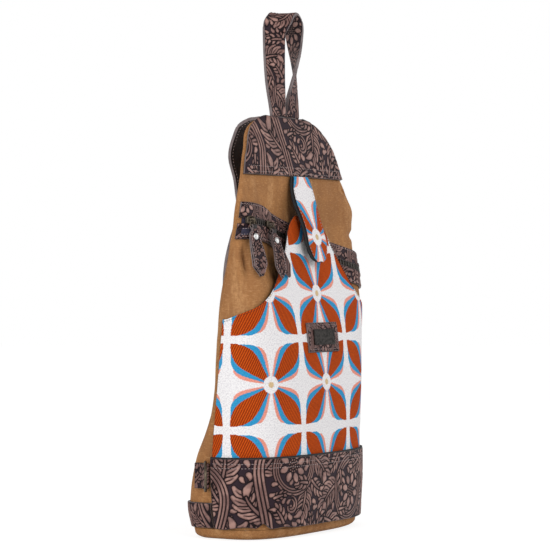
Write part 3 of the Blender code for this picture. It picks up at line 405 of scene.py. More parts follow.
def zip_end(side, offset=0.0):
    """The arc at which a line along the zip meets the gap before a side seam."""
    arc = side * front_half_arc(zip_height(0.0))
    for _ in range(8):
        arc = side * (front_half_arc(zip_height(arc) + offset) - ZIP_SEAM_GAP)
    return arc


def tab_stand(height):
    """How far the closure tab's back stands off the pocket."""
    return smooth_between(TAB_RISE, (YOKE_SEAM - height) / (YOKE_SEAM - SNAP_HEIGHT))


# Tooled pattern of the leather


def polar(middle, angle, reach):
    """The point this far from middle, at an angle."""
    return middle[0] + math.cos(angle) * reach, middle[1] + math.sin(angle) * reach


def way_at(line, index):
    """The direction of a line at one of its points."""
    (x0, y0), (x1, y1) = line[max(index - 1, 0)], line[min(index + 1, len(line) - 1)]
    return math.atan2(y1 - y0, x1 - x0)


def stroke_line(start, heading, length, bends, steps=12):
    """Points of a line that starts at an angle and bends evenly from one curvature to another."""
    points = [start]
    x, y = start
    for step in range(steps):
        share = (step + 0.5) / steps
        heading += (bends[0] + (bends[1] - bends[0]) * share) * length / steps
        x += math.cos(heading) * length / steps
        y += math.sin(heading) * length / steps
        points.append((x, y))
    return points


class Tooling:
    """Signed distance to the edge of the raised strokes over one tile: below 0 on them."""

    def __init__(self):
        self.columns = round(TOOL_TILE[0] / TOOL_STEP)
        self.rows = round(TOOL_TILE[1] / TOOL_STEP)
        self.field = numpy.full((self.rows, self.columns), TOOL_FAR)

    def spread(self, points, widths):
        """The field's part round a line of these half widths, and the distances there."""
        line = numpy.array(points)
        half = numpy.interp(numpy.linspace(0.0, 1.0, len(points)), (0.0, 0.5, 1.0), widths)
        room = half.max() + 0.0022
        low = numpy.floor((line.min(axis=0) - room) / TOOL_STEP).astype(int)
        high = numpy.ceil((line.max(axis=0) + room) / TOOL_STEP).astype(int)
        columns = numpy.arange(low[0], high[0])
        rows = numpy.arange(low[1], high[1])
        x, y = numpy.meshgrid(columns * TOOL_STEP, rows * TOOL_STEP)
        best = numpy.full(x.shape, TOOL_FAR)
        for (x0, y0), (x1, y1), h0, h1 in zip(line, line[1:], half, half[1:]):
            span = (x1 - x0) ** 2 + (y1 - y0) ** 2 + 1e-12
            along = numpy.clip(((x - x0) * (x1 - x0) + (y - y0) * (y1 - y0)) / span, 0.0, 1.0)
            reach = numpy.hypot(x - x0 - (x1 - x0) * along, y - y0 - (y1 - y0) * along)
            best = numpy.minimum(best, reach - h0 - (h1 - h0) * along)
        return numpy.ix_(rows % self.rows, columns % self.columns), best

    def stroke(self, points, widths, outline=0.00055):
        """Lays a stroke with half widths at its start, middle and end over what is there."""
        place, best = self.spread(points, widths)
        self.field[place] = numpy.minimum(numpy.maximum(self.field[place], outline - best), best)

    def dot(self, spot, radius, outline, length=0.0001):
        """A round dot, laid as a very short stroke."""
        self.stroke([spot, (spot[0] + length, spot[1])], (radius, radius, radius), outline)

    def groove(self, points, widths):
        """Cuts a thin line back into what is raised."""
        place, best = self.spread(points, widths)
        self.field[place] = numpy.maximum(self.field[place], -best)

    def leaf(self, start, heading, length, bends, size, lobes=5):
        """An acanthus leaf: curved lobes on both sides of a rib, and one at its tip."""
        rib_line = stroke_line(start, heading, length, bends, LEAF_STEPS)
        for index in range(lobes):
            share = 0.10 + 0.78 * index / (lobes - 1)
            at = round(share * LEAF_STEPS)
            reach = size * (0.55 + 0.45 * math.sin(math.pi * (0.15 + 0.75 * share)))
            for side in (-1.0, 1.0):
                way = way_at(rib_line, at) + side * (1.25 - 0.45 * share)
                lobe = stroke_line(rib_line[at], way, reach,
                                   (-side * 0.25 / size, -side * 1.5 / size), 8)
                self.stroke(lobe, (size * 0.08, size * 0.19, size * 0.10))
                if size > 0.0060:
                    self.groove(lobe[1:7], (0.0001, 0.00026, 0.0001))
        tip = rib_line[LEAF_STEPS - 4]
        way = math.atan2(rib_line[-1][1] - tip[1], rib_line[-1][0] - tip[0])
        self.stroke(stroke_line(tip, way, size * 0.95, (bends[1], bends[1] * 2.0), 8),
                    (size * 0.10, size * 0.20, size * 0.05))
        self.stroke(rib_line[:-3], (0.0007, 0.0006, 0.0003), 0.0006)

    def rosette(self, middle, radius, turn, petals=8):
        """Petals round a stippled centre."""
        for index in range(petals):
            angle = turn + 2.0 * math.pi * index / petals
            petal = stroke_line(polar(middle, angle, radius * 0.52), angle, radius * 0.36,
                                (60.0, 60.0), 5)
            self.stroke(petal, (radius * 0.10, radius * 0.21, radius * 0.13))
        for reach, dots in ((0.0, 1), (0.17, 6), (0.33, 12)):
            for index in range(dots):
                angle = turn + 2.0 * math.pi * index / dots
                self.dot(polar(middle, angle, radius * reach), 0.00045, 0.0003)

    def curl(self, middle, radius, hand, turn):
        """Two lines that wind in to a drop."""
        for outer, length in ((1.0, 4.6), (0.66, 3.4)):
            shares = [step / 24 for step in range(25)]
            line = [polar(middle, turn + hand * length * share,
                          radius * outer * (1.0 - 0.62 * share)) for share in shares]
            self.stroke(line, (0.00020, 0.00072, 0.00040), 0.0005)
        self.dot(middle, radius * 0.13, 0.0004, 0.0002)

    def scroll(self, middle, radius, hand, turn, leaves, inner):
        """A scroll that comes in on a tail and winds in to a rosette, with leaves on both sides."""
        shares = [step / SCROLL_STEPS for step in range(SCROLL_STEPS + 1)]
        spine = [polar(middle, turn + hand * 7.2 * share, radius * (1.0 - 0.50 * share ** 0.9))
                 for share in shares]
        way = math.atan2(spine[0][1] - spine[1][1], spine[0][0] - spine[1][0])
        tail = stroke_line(spine[0], way, radius * 2.3, (-hand * 20.0, hand * 42.0), 30)
        line = tail[:0:-1] + spine
        last = len(line) - 1
        ways = [way_at(line, index) for index in range(last + 1)]
        for share, size, length, lean, side in leaves:
            at = round(share * last)
            self.leaf(line[at], ways[at] - side * hand * lean, length,
                      (-side * hand * 20.0, side * hand * 90.0), size)
        for shift in (-0.0019, 0.0, 0.0019):
            stem = []
            for index, (x, y) in enumerate(line):
                close = shift * (1.1 - 0.5 * index / last)
                stem.append((x - math.sin(ways[index]) * close, y + math.cos(ways[index]) * close))
            self.stroke(stem, (0.00062, 0.00058, 0.00040))
        for share, size, length in inner:
            at = round(share * last)
            self.leaf(line[at], ways[at] + hand * 0.9, length, (hand * 10.0, -hand * 60.0), size, 3)
        self.rosette(middle, radius * 0.43, turn)

    def fill(self, seed=7):
        """Curls, leaves and drops in the ground that is still bare."""
        chance = numpy.random.default_rng(seed)
        turns = 2.0 * math.pi / TOOL_TILE[0], 2.0 * math.pi / TOOL_TILE[1]
        for least, most, tries in ((0.0046, 0.0080, 2500), (0.0031, 0.0060, 4000),
                                   (0.00155, 0.0040, 9000)):
            for _ in range(tries):
                x = chance.uniform(0.0, TOOL_TILE[0])
                y = chance.uniform(0.0, TOOL_TILE[1])
                lean = chance.uniform(-0.5, 0.5)
                side = chance.choice((-1.0, 1.0))
                room = self.field[int(y / TOOL_STEP) % self.rows, int(x / TOOL_STEP) % self.columns]
                if not least < room < 0.009:
                    continue
                way = 2.4 * math.sin(turns[0] * x) + 1.7 * math.cos(turns[1] * y) + lean
                reach = min(room, most)
                if least < 0.003:
                    half = min(room - 0.0006, 0.0013)
                    drop = stroke_line((x, y), way, half * 2.2, (side * 300.0, side * 500.0), 6)
                    self.stroke(drop, (half, half * 0.8, half * 0.25), 0.0004)
                elif least > 0.004 and chance.uniform() < 0.55:
                    self.curl((x, y), reach * 0.95, side, way)
                else:
                    self.leaf(polar((x, y), way, -reach * 0.9), way, reach * 1.75,
                              (side * 20.0, -side * 120.0), reach * 1.02, 4 if least > 0.004 else 3)


def make_tooling():
    """Two scrolls of opposite hand with their leaves, and smaller leaves in the ground between."""
    tooling = Tooling()
    # Share of the way along, size, length, lean off the stem and side of each leaf
    leaves = ((0.16, 0.0092, 0.0180, 0.60, 1.0), (0.30, 0.0088, 0.0165, 0.80, -1.0),
              (0.36, 0.0095, 0.0175, 0.70, 1.0), (0.48, 0.0088, 0.0165, 0.75, 1.0),
              (0.60, 0.0092, 0.0165, 0.80, 1.0), (0.71, 0.0080, 0.0140, 0.80, 1.0))
    inner = ((0.42, 0.0062, 0.0085), (0.56, 0.0056, 0.0075), (0.70, 0.0050, 0.0065))
    tooling.scroll((0.028, 0.042), 0.0200, -1.0, 3.4, leaves, inner)
    tooling.scroll((0.082, 0.026), 0.0200, 1.0, -0.3, leaves, inner)
    tooling.fill()
    return tooling


TOOLING = make_tooling()


def tooling_at(u, v, tool):
    """Distance from a point of the flat leather to the nearest raised edge, less than 0 on it."""
    scale, turn, shift_u, shift_v = tool
    u, v = u / scale, v / scale
    x = (u * math.cos(turn) - v * math.sin(turn) + shift_u) / TOOL_STEP
    y = (u * math.sin(turn) + v * math.cos(turn) + shift_v) / TOOL_STEP
    column, row = math.floor(x), math.floor(y)
    near_x, near_y = x - column, y - row
    value = 0.0
    for down, share_y in ((0, 1.0 - near_y), (1, near_y)):
        line = TOOLING.field[(row + down) % TOOLING.rows]
        value += share_y * (line[column % TOOLING.columns] * (1.0 - near_x)
                            + line[(column + 1) % TOOLING.columns] * near_x)
    return float(value) * scale


# Procedural finishes


class Tree:
    """Short ways to add and join the nodes of one material or group."""

    def __init__(self, tree):
        self.tree = tree

    def feed(self, socket, value):
        if isinstance(value, bpy.types.NodeSocket):
            self.tree.links.new(value, socket)
        else:
            socket.default_value = value

    def add(self, kind, inputs=None, **settings):
        node = self.tree.nodes.new(kind)
        for key, value in settings.items():
            setattr(node, key, value)
        for key, value in (inputs or {}).items():
            self.feed(node.inputs[key], value)
        return node

    def math(self, operation, *values, clamp=False):
        return self.add("ShaderNodeMath", dict(enumerate(values)), operation=operation,
                        use_clamp=clamp).outputs[0]

    def plus(self, first, second):
        return self.math("ADD", first, second)

    def minus(self, first, second):
        return self.math("SUBTRACT", first, second)

    def times(self, first, second):
        return self.math("MULTIPLY", first, second)

    def vector(self, operation, *values):
        return self.add("ShaderNodeVectorMath", dict(enumerate(values)),
                        operation=operation).outputs[0]

    def stretched(self, vector, factors):
        return self.vector("MULTIPLY", vector, factors)

    def scaled(self, vector, scale):
        return self.add("ShaderNodeVectorMath", {0: vector, "Scale": scale},
                        operation="SCALE").outputs[0]

    def mix(self, share, first, second, blend="MIX"):
        return self.add("ShaderNodeMix", {0: share, 6: first, 7: second}, data_type="RGBA",
                        blend_type=blend).outputs[2]

    def between(self, value, low, high, first=0.0, second=1.0):
        """A smooth step of value from low to high, put out as first to second."""
        return self.add("ShaderNodeMapRange", {0: value, 1: low, 2: high, 3: first, 4: second},
                        interpolation_type="SMOOTHSTEP").outputs[0]

    def noise(self, vector, scale, detail=2.0, roughness=0.5, output=0):
        return self.add("ShaderNodeTexNoise", {"Vector": vector, "Scale": scale, "Detail": detail,
                                               "Roughness": roughness}).outputs[output]

    def split(self, vector):
        return self.add("ShaderNodeSeparateXYZ", {0: vector}).outputs

    def bump(self, height, strength, distance, **normal):
        return self.add("ShaderNodeBump", {"Height": height, "Strength": strength,
                                           "Distance": distance, **normal}).outputs[0]


def shader_group(name, inputs, outputs):
    """A new node group with its sockets: the group, its Tree, what it is given and its outputs."""
    group = bpy.data.node_groups.new(name, "ShaderNodeTree")
    for label, kind, *value in inputs:
        socket = group.interface.new_socket(label, in_out="INPUT", socket_type="NodeSocket" + kind)
        if value:
            socket.default_value = value[0]
    for label, kind in outputs:
        group.interface.new_socket(label, in_out="OUTPUT", socket_type="NodeSocket" + kind)
    tree = Tree(group)
    return group, tree, tree.add("NodeGroupInput").outputs, tree.add("NodeGroupOutput").inputs


def new_finish(name):
    """A new material, its Tree and its shader's inputs."""
    material = bpy.data.materials.new(name)
    material.use_nodes = True
    shader = material.node_tree.nodes["Principled BSDF"]
    return material, Tree(material.node_tree), shader.inputs


def place_group(tree, group, **values):
    """A node of the group with its inputs fed."""
    node = tree.add("ShaderNodeGroup")
    node.node_tree = group
    for key, value in values.items():
        tree.feed(node.inputs[key], value)
    return node.outputs


def cut_map(tree):
    """The piece's own flat measures, in metres, as its UV map holds them."""
    return tree.add("ShaderNodeUVMap", uv_map="cut").outputs[0]


def object_map(tree):
    """Places in the piece's own space, for grain that has no direction."""
    return tree.add("ShaderNodeTexCoord").outputs["Object"]


def make_weave_group():
    """Threads over and under each other: height and a light and dark mask."""
    group, tree, given, out = shader_group(
        "cloth_weave", [("Vector", "Vector"), ("Pitch", "Float", 0.0008)],
        [("Height", "Float"), ("Mask", "Float")])
    turns = tree.scaled(given["Vector"], tree.math("DIVIDE", math.pi, given["Pitch"]))
    waves = [tree.math("SINE", turn) for turn in tree.split(turns)[:2]]
    side = tree.math("GREATER_THAN", tree.times(*waves), 0.0)
    warp, weft = (tree.math("ABSOLUTE", wave) for wave in waves)
    over = tree.add("ShaderNodeMix", {0: side, 2: warp, 3: weft}).outputs[0]
    fuzz = tree.noise(given["Vector"], 900.0)
    height = tree.plus(tree.times(over, 0.7), tree.times(fuzz, 0.6))
    tree.feed(out["Height"], height)
    tree.feed(out["Mask"], tree.between(height, 0.2, 1.1))
    return group


def make_relief_group():
    """Carved leather from its "tooling" distances: its height and the masks of its parts."""
    group, tree, given, out = shader_group(
        "carved_relief", [("Distance", "Float", 0.0), ("Vector", "Vector")],
        [(label, "Float") for label in ("Height", "Raised", "Crown", "Ground", "Tone")])
    rough = tree.noise(given["Vector"], 900.0)
    distance = tree.plus(given["Distance"], tree.times(tree.minus(rough, 0.5), 0.00016))
    raised = tree.between(distance, -0.00016, 0.00012, 1.0, 0.0)
    crown = tree.between(distance, -0.0012, -0.0001, 1.0, 0.0)
    grain = tree.noise(given["Vector"], 1500.0, 3.0, 0.6)
    height = tree.plus(tree.plus(tree.times(raised, 0.6), tree.times(crown, 0.4)),
                       tree.times(grain, 0.12))
    for label, value in (("Height", height), ("Raised", raised), ("Crown", crown),
                         ("Ground", tree.between(distance, 0.0004, 0.0011)),
                         ("Tone", tree.noise(given["Vector"], 75.0, 3.0, 0.6))):
        tree.feed(out[label], value)
    return group


def make_lattice_group():
    """Four-petal lattice of the jacquard: its colour before the threads are laid over it."""
    group, tree, given, out = shader_group(
        "petal_lattice",
        [("Vector", "Vector"), ("Cell", "Float", 0.0840), ("Rise", "Float", LATTICE_RISE)]
        + [(label, "Color") for label in ("Cream", "Rust", "Blue", "Pink", "Seed")],
        [("Color", "Color"), ("Rust Mask", "Float")])
    ragged = tree.noise(given["Vector"], 700.0, 1.0, output=1)
    shake = tree.scaled(tree.vector("SUBTRACT", ragged, (0.5, 0.5, 0.5)), 0.0014)
    x, y, _ = tree.split(tree.vector("ADD", given["Vector"], shake))
    halves = []
    for side in (x, tree.minus(y, given["Rise"])):
        turns = tree.plus(tree.math("DIVIDE", side, given["Cell"]), 0.5)
        share = tree.minus(tree.math("FLOORED_MODULO", turns, 1.0), 0.5)
        halves.append(tree.times(tree.math("ABSOLUTE", share), 2.0))
    small = tree.math("MINIMUM", *halves)
    large = tree.math("MAXIMUM", *halves)

    def petal(size, slope, curl, power, limit):
        """1 inside a petal that comes to a point in the flower and again in the corner star."""
        share = tree.math("MINIMUM", tree.math("DIVIDE", large, size), 0.9999)
        root = tree.math("SQRT", tree.minus(1.0, tree.math("POWER", share, power)))
        edge = tree.plus(tree.times(share, slope), tree.times(tree.minus(1.0, root), curl))
        past = tree.minus(small, tree.times(edge, size))
        return tree.times(tree.between(past, -0.010, 0.010),
                          tree.between(large, limit - 0.008, limit + 0.008, 1.0, 0.0))

    colour = given["Cream"]
    rust = petal(0.92, 0.52, 0.48, 8.0, 0.915)
    for name, mask in (("Pink", petal(0.85, 0.15, 0.26, 6.0, 0.85)),
                       ("Blue", petal(0.91, 0.30, 0.35, 8.0, 0.90)), ("Rust", rust)):
        colour = tree.mix(mask, colour, given[name])
    reach = tree.math("SQRT", tree.plus(*(tree.times(half, half) for half in halves)))
    disc = tree.between(reach, 0.185, 0.205, 1.0, 0.0)
    colour = tree.mix(disc, colour, given["Cream"])
    colour = tree.mix(tree.between(reach, 0.050, 0.085, 0.9, 0.0), colour, given["Seed"])
    tree.feed(out["Color"], colour)
    tree.feed(out["Rust Mask"], tree.times(rust, tree.minus(1.0, disc)))
    return group


FINISHES = {}


def rgb(colour):
    """A colour as a socket takes it."""
    return (*colour, 1.0)


def make_canvas_finish(colours, weave):
    """Waxed canvas: threads with slubs, worn and soiled patches, creases."""
    material, tree, sockets = new_finish("waxed_canvas")
    spot = object_map(tree)
    flat = cut_map(tree)
    cloth = place_group(tree, weave, Vector=flat, Pitch=WEAVE_PITCH)
    worn = tree.noise(spot, 24.0, 4.0, 0.65)
    streak = tree.noise(tree.stretched(spot, (60.0, 60.0, 14.0)), 1.0, 4.0, 0.65)
    fine = tree.noise(spot, 330.0, 4.0, 0.75)
    slub = tree.noise(tree.stretched(flat, (160.0, 900.0, 1.0)), 1.0, 3.0, 0.7)
    colour = tree.mix(tree.between(worn, 0.32, 0.66), rgb(colours.canvas_dark), rgb(colours.canvas))
    for mask, tone in ((tree.between(streak, 0.48, 0.68, 0.0, 0.60), colours.canvas_light),
                       (tree.between(streak, 0.30, 0.47, 0.55, 0.0), colours.canvas_dark),
                       (tree.between(fine, 0.36, 0.62, 0.70, 0.0), colours.canvas_dark),
                       (tree.between(slub, 0.52, 0.70, 0.0, 0.50), colours.canvas_light),
                       (tree.times(cloth["Mask"], 0.22), colours.canvas_light)):
        colour = tree.mix(mask, colour, rgb(tone))
    tree.feed(sockets["Base Color"], colour)
    tree.feed(sockets["Roughness"], tree.between(worn, 0.2, 0.8, 0.66, 0.84))
    sockets["Specular IOR Level"].default_value = 0.18
    creases = tree.noise(tree.stretched(spot, (1.0, 1.0, 0.6)), 75.0, 5.0, 0.62)
    threads = tree.plus(cloth["Height"], tree.times(slub, 0.9))
    creased = tree.bump(creases, 0.60, 0.0026)
    tree.feed(sockets["Normal"], tree.bump(threads, 0.6, 0.0004, Normal=creased))
    return material


def make_jacquard_finish(colours, lattice, weave, cell):
    """The petal lattice as woven cloth: twill lines in the petals, speckled threads."""
    material, tree, sockets = new_finish("jacquard_cloth")
    flat = cut_map(tree)
    pattern = place_group(tree, lattice, Vector=flat, Cell=cell, Cream=rgb(colours.cream),
                          Rust=rgb(colours.rust), Blue=rgb(colours.blue), Pink=rgb(colours.pink),
                          Seed=rgb(colours.seed))
    cloth = place_group(tree, weave, Vector=flat, Pitch=WEAVE_PITCH)
    x, y, _ = tree.split(flat)
    slant = tree.minus(tree.times(x, 0.906), tree.times(y, 0.423))
    ribs = tree.math("SINE", tree.times(slant, 2.0 * math.pi / TWILL_PITCH))
    broken = tree.plus(ribs, tree.times(tree.minus(tree.noise(flat, 800.0), 0.5), 1.6))
    groove = tree.times(tree.between(broken, -0.8, 0.6, 1.0, 0.0), pattern["Rust Mask"])
    faded = tree.times(tree.between(tree.noise(flat, 16.0), 0.35, 0.65, 0.0, 0.35),
                       pattern["Rust Mask"])
    speckle = tree.between(tree.noise(flat, 760.0, 3.0, 0.8), 0.38, 0.56, 0.75, 0.0)
    colour = pattern["Color"]
    for mask, tint in ((groove, (0.40, 0.30, 0.40)), (faded, (0.70, 0.62, 0.90)),
                       (speckle, (0.66, 0.64, 0.68))):
        colour = tree.mix(mask, colour, tree.mix(1.0, colour, rgb(tint), "MULTIPLY"))
    tree.feed(sockets["Base Color"], colour)
    sockets["Roughness"].default_value = 0.86
    sockets["Specular IOR Level"].default_value = 0.10
    height = tree.plus(cloth["Height"], tree.times(groove, -0.7))
    tree.feed(sockets["Normal"], tree.bump(height, 0.5, 0.0003))
    return material


def make_tooled_finish(name, colours, relief, dulled=0.0):
    """Carved leather: a dark ground with paler raised strokes."""
    material, tree, sockets = new_finish(name)
    distance = tree.add("ShaderNodeAttribute", attribute_name="tooling").outputs["Fac"]
    carved = place_group(tree, relief, Distance=distance, Vector=object_map(tree))
    tone = tree.between(carved["Tone"], 0.36, 0.64, -0.45 - dulled, 0.30 - dulled)
    shine = tree.math("ADD", tree.times(carved["Crown"], 0.75), tone, clamp=True)
    raised = tree.mix(shine, rgb(colours.leather_mid), rgb(colours.leather_raised))
    ground = tree.mix(carved["Ground"], rgb(colours.leather_cut), rgb(colours.leather_ground))
    tree.feed(sockets["Base Color"], tree.mix(carved["Raised"], ground, raised))
    tree.feed(sockets["Roughness"], tree.between(carved["Raised"], 0.0, 1.0, 0.58, 0.48))
    tree.feed(sockets["Specular IOR Level"], tree.between(carved["Raised"], 0.0, 1.0, 0.12, 0.36))
    tree.feed(sockets["Normal"], tree.bump(carved["Height"], 0.7, 0.0007))
    return material


def make_grain_finish(name, colour, darker, roughness, scale=420.0):
    """Plain leather, cut edges, binding and tape: two tones, fine grain."""
    material, tree, sockets = new_finish(name)
    spot = object_map(tree)
    tone = tree.between(tree.noise(spot, scale * 0.25, 3.0, 0.6), 0.3, 0.7)
    grain = tree.noise(spot, scale, 3.0, 0.6)
    tree.feed(sockets["Base Color"], tree.mix(tone, rgb(darker), rgb(colour)))
    tree.feed(sockets["Roughness"],
              tree.between(grain, 0.2, 0.8, roughness - 0.08, roughness + 0.08))
    tree.feed(sockets["Normal"], tree.bump(grain, 0.5, 0.0004))
    return material


def make_metal_finish(name, colour, worn, roughness, scratches=0.35):
    """Metal in two tones with fine scratches."""
    material, tree, sockets = new_finish(name)
    spot = object_map(tree)
    patina = tree.noise(spot, 480.0, 3.0, 0.6)
    fine = tree.noise(tree.stretched(spot, (900.0, 900.0, 2600.0)), 1.0, 2.0, 0.6)
    tree.feed(sockets["Base Color"],
              tree.mix(tree.between(patina, 0.38, 0.62), rgb(colour), rgb(worn)))
    tree.feed(sockets["Roughness"],
              tree.between(patina, 0.3, 0.7, roughness + 0.12, roughness - 0.06))
    sockets["Metallic"].default_value = 1.0
    tree.feed(sockets["Normal"], tree.bump(fine, scratches, 0.0001))
    return material


def make_thread_finish(name, colour, darker):
    """Twisted thread in two tones."""
    material, tree, sockets = new_finish(name)
    twist = tree.noise(object_map(tree), 2400.0, 1.0)
    tree.feed(sockets["Base Color"],
              tree.mix(tree.between(twist, 0.3, 0.7), rgb(darker), rgb(colour)))
    sockets["Roughness"].default_value = 0.65
    tree.feed(sockets["Normal"], tree.bump(twist, 0.5, 0.0002))
    return material


# Helpers that shape and seat the pieces


def seat(piece, stands_for=(), body="bag"):
    """Joins a finished piece to its CAD body and says which nodes it stands for."""
    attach(piece, body)
    if stands_for:
        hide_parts(*stands_for)


def object_from(name, bm, finishes, sharp_degrees=50.0):
    """An object of a finished bmesh, with its materials."""
    mesh = bpy.data.meshes.new(name)
    bm.to_mesh(mesh)
    bm.free()
    mesh.shade_smooth()
    mesh.set_sharp_from_angle(angle=math.radians(sharp_degrees))
    for finish in finishes:
        mesh.materials.append(FINISHES[finish])
    piece = bpy.data.objects.new(name, mesh)
    bpy.context.collection.objects.link(piece)
    return piece


def add_modifier(piece, kind, **settings):
    """Adds a modifier with its settings."""
    modifier = piece.modifiers.new(kind.title(), kind)
    for key, value in settings.items():
        setattr(modifier, key, value)


def refinish(node, finish):
    """Gives a CAD node's own mesh a better material."""
    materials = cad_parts[node].data.materials
    materials.clear()
    materials.append(FINISHES[finish])


def laid_grid(columns, rows, place, cut):
    """A grid laid by place(across, up), its UV map holding the flat cut in metres."""
    bm = bmesh.new()
    bmesh.ops.create_grid(bm, x_segments=columns, y_segments=rows, size=0.5)
    layer = bm.loops.layers.uv.new("cut")
    for vert in bm.verts:
        across, up = vert.co.x + 0.5, vert.co.y + 0.5
        flat = cut(across, up)
        for loop in vert.link_loops:
            loop[layer].uv = flat
        vert.co = place(across, up)
    return bm


def grid_size(width, height):
    """Steps of a tooled sheet's grid."""
    return max(round(width / TOOL_PITCH), 2), max(round(height / TOOL_PITCH), 2)


def thicken(bm, thickness, offset, tool, rounding):
    """Gives a laid grid a face, a back and a cut edge; tool raises the face's strokes."""
    bm.normal_update()
    out = bm.verts.layers.float_vector.new("out")
    carved = bm.verts.layers.float.new("tooling")
    layer = bm.loops.layers.uv["cut"]
    for vert in bm.verts:
        vert[out] = vert.normal
        if tool:
            u, v = vert.link_loops[0][layer].uv
            vert[carved] = max(tooling_at(u, v, tool), TOOL_BARE if vert.is_boundary else -1.0)
    back = bm.faces[:]
    made = bmesh.ops.extrude_face_region(bm, geom=back, use_keep_orig=True)["geom"]
    front = [item for item in made if isinstance(item, bmesh.types.BMFace)]
    for item in made:
        if isinstance(item, bmesh.types.BMVert):
            rise = TOOL_RISE * ease(0.5 - item[carved] / TOOL_SLOPE) if tool else 0.0
            item.co += Vector(item[out]) * (thickness * (1.0 + offset) / 2.0 + rise)
    for vert in {vert for face in back for vert in face.verts}:
        vert.co -= Vector(vert[out]) * thickness * (1.0 - offset) / 2.0
    for face in bm.faces:
        face.material_index = 2
    for face in back:
        face.material_index = 1
        face.normal_flip()
    for face in front:
        face.material_index = 0
    rims = [edge for edge in bm.edges if len(edge.link_faces) == 2
            and sorted(face.material_index for face in edge.link_faces) in ([0, 2], [1, 2])]
    bmesh.ops.bevel(bm, geom=rims, offset=rounding, affect="EDGES", segments=2, profile=0.5,
                    material=-1)
    bm.verts.layers.float_vector.remove(bm.verts.layers.float_vector["out"])


def laid_sheet(name, size, place, cut, thickness, finishes, offset=1.0, rounding=0.0003, tool=None,
               flip=False):
    """A sheet with a face, a back and a cut edge, its edges slightly rounded."""
    bm = laid_grid(size[0], size[1], place, cut)
    if flip:
        bmesh.ops.reverse_faces(bm, faces=bm.faces)
    thicken(bm, thickness, offset, tool, rounding)
    return object_from(name, bm, finishes)


def front_sheet(name, size, spot, lift, thickness, finishes, cut=None, dented=False, **rest):
    """A sheet on the front skin: spot gives arc and height, lift how far out its back lies."""

    def place(across, up):
        out = lift(across, up) if callable(lift) else lift
        return front_point(*spot(across, up), out, dented)

    return laid_sheet(name, size, place, cut or spot, thickness, finishes, **rest)


def add_stitches(bm, line, pitch, length):
    """Lays one thread end after another along line, a list of (point, outward normal)."""
    travelled = 0.0
    due = pitch / 2.0
    for (here, normal), (ahead, _) in zip(line, line[1:]):
        span = (ahead - here).length
        if span < 1e-9:
            continue
        along = (ahead - here) / span
        while due <= travelled + span:
            turn = Matrix((along, normal.cross(along).normalized(), normal)).transposed().to_4x4()
            matrix = (Matrix.Translation(here + along * (due - travelled)) @ turn
                      @ Matrix.Diagonal((length / 2, THREAD_RADIUS, THREAD_RADIUS, 1.0)))
            bmesh.ops.create_uvsphere(bm, u_segments=6, v_segments=4, radius=1.0, matrix=matrix)
            due += pitch
        travelled += span


def sew(name, lines, finish="pale_thread", body="bag", pitch=None, length=None):
    """Stitches along every line, seated with the piece that they hold."""
    sizes = bpy.context.scene.bag_sizes
    bm = bmesh.new()
    for line in lines:
        add_stitches(bm, line, pitch or sizes.stitch_pitch, length or sizes.stitch_length)
    seat(object_from(name, bm, [finish]), body=body)


def front_line(arcs_heights, lift, dented=False):
    """Points and normals on the front skin for a run of (arc, height)."""
    return [(front_point(arc, height, lift, dented), front_normal(arc, height))
            for arc, height in arcs_heights]


def level_line(height, inset, steps, lift):
    """A stitch line right across the front at one height."""
    reach = front_half_arc(height) - inset
    return front_line([(-reach + 2.0 * reach * step / steps, height)
                       for step in range(steps + 1)], lift)


def polished_copy(node, finish, levels=1, smooth_angle=60.0):
    """A merged, rounder copy of a CAD node's mesh, for small metal pieces."""
    bm = bmesh.new()
    bm.from_mesh(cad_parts[node].data)
    bmesh.ops.remove_doubles(bm, verts=bm.verts, dist=0.00001)
    bmesh.ops.join_triangles(bm, faces=bm.faces, angle_face_threshold=math.radians(20.0),
                             angle_shape_threshold=math.radians(180.0))
    bmesh.ops.recalc_face_normals(bm, faces=bm.faces)
    piece = object_from(node + "_metal", bm, [finish], smooth_angle)
    if levels:
        add_modifier(piece, "SUBSURF", levels=levels, render_levels=levels)
    return piece


# Canvas


def canvas_fold(arc, height, x):
    """The stuffed canvas's unevenness: how far it stands out or sinks in."""
    spot = Vector((x, arc * 0.5, height))
    return noise.noise(spot * 17.0) * 0.0015 + noise.noise(spot * 44.0 + Vector((3, 1, 7))) * 0.0008


def front_fold(arc, height):
    """Creases of the front canvas: pulls under the yoke, beside the pocket and at the seams."""
    reach = front_half_arc(height)
    fold = canvas_fold(arc, height, arc) * ease((reach - abs(arc)) / 0.012)
    for depth, middle, wide, level, tall in FOLDS:
        fold += depth * bump(arc, middle, wide) * bump(height, level, tall)
    yoke_pull = -0.0845 - 0.0035 * ease(abs(height - 0.328) / 0.006)
    fold -= 0.0013 * bump(arc, yoke_pull, 0.0030) * bump(height, 0.328, 0.009)
    for depth, level, tall, run in PINCHES:
        fold += depth * bump(height, level, tall) * ease((arc - (reach - 0.010) + run) / run)
    fold -= 0.0008 * ease((abs(arc) - (reach - 0.0035)) / 0.0035)
    return fold * ease((BODY_TOP - height) / 0.02)


def back_fold(share, height):
    """Folds of the back canvas, and how it is drawn in over the base."""
    edge = min(share, 1.0 - share)
    fold = canvas_fold(share * 0.2, height, share * 0.22 + 0.5) * ease(edge / 0.05)
    fold -= 0.0050 * bump(height, 0.130, 0.060) * ease(edge / 0.10)
    fold -= 0.0008 * (1.0 - ease(edge / 0.02))
    return fold * ease((BODY_TOP - height) / 0.02)


def body_cut(across, up):
    """Where a point of the canvas lies on the flat cloth."""
    return ((across - 0.5) * 0.46, BAND_FOOT + (BODY_TOP - BAND_FOOT) * up)


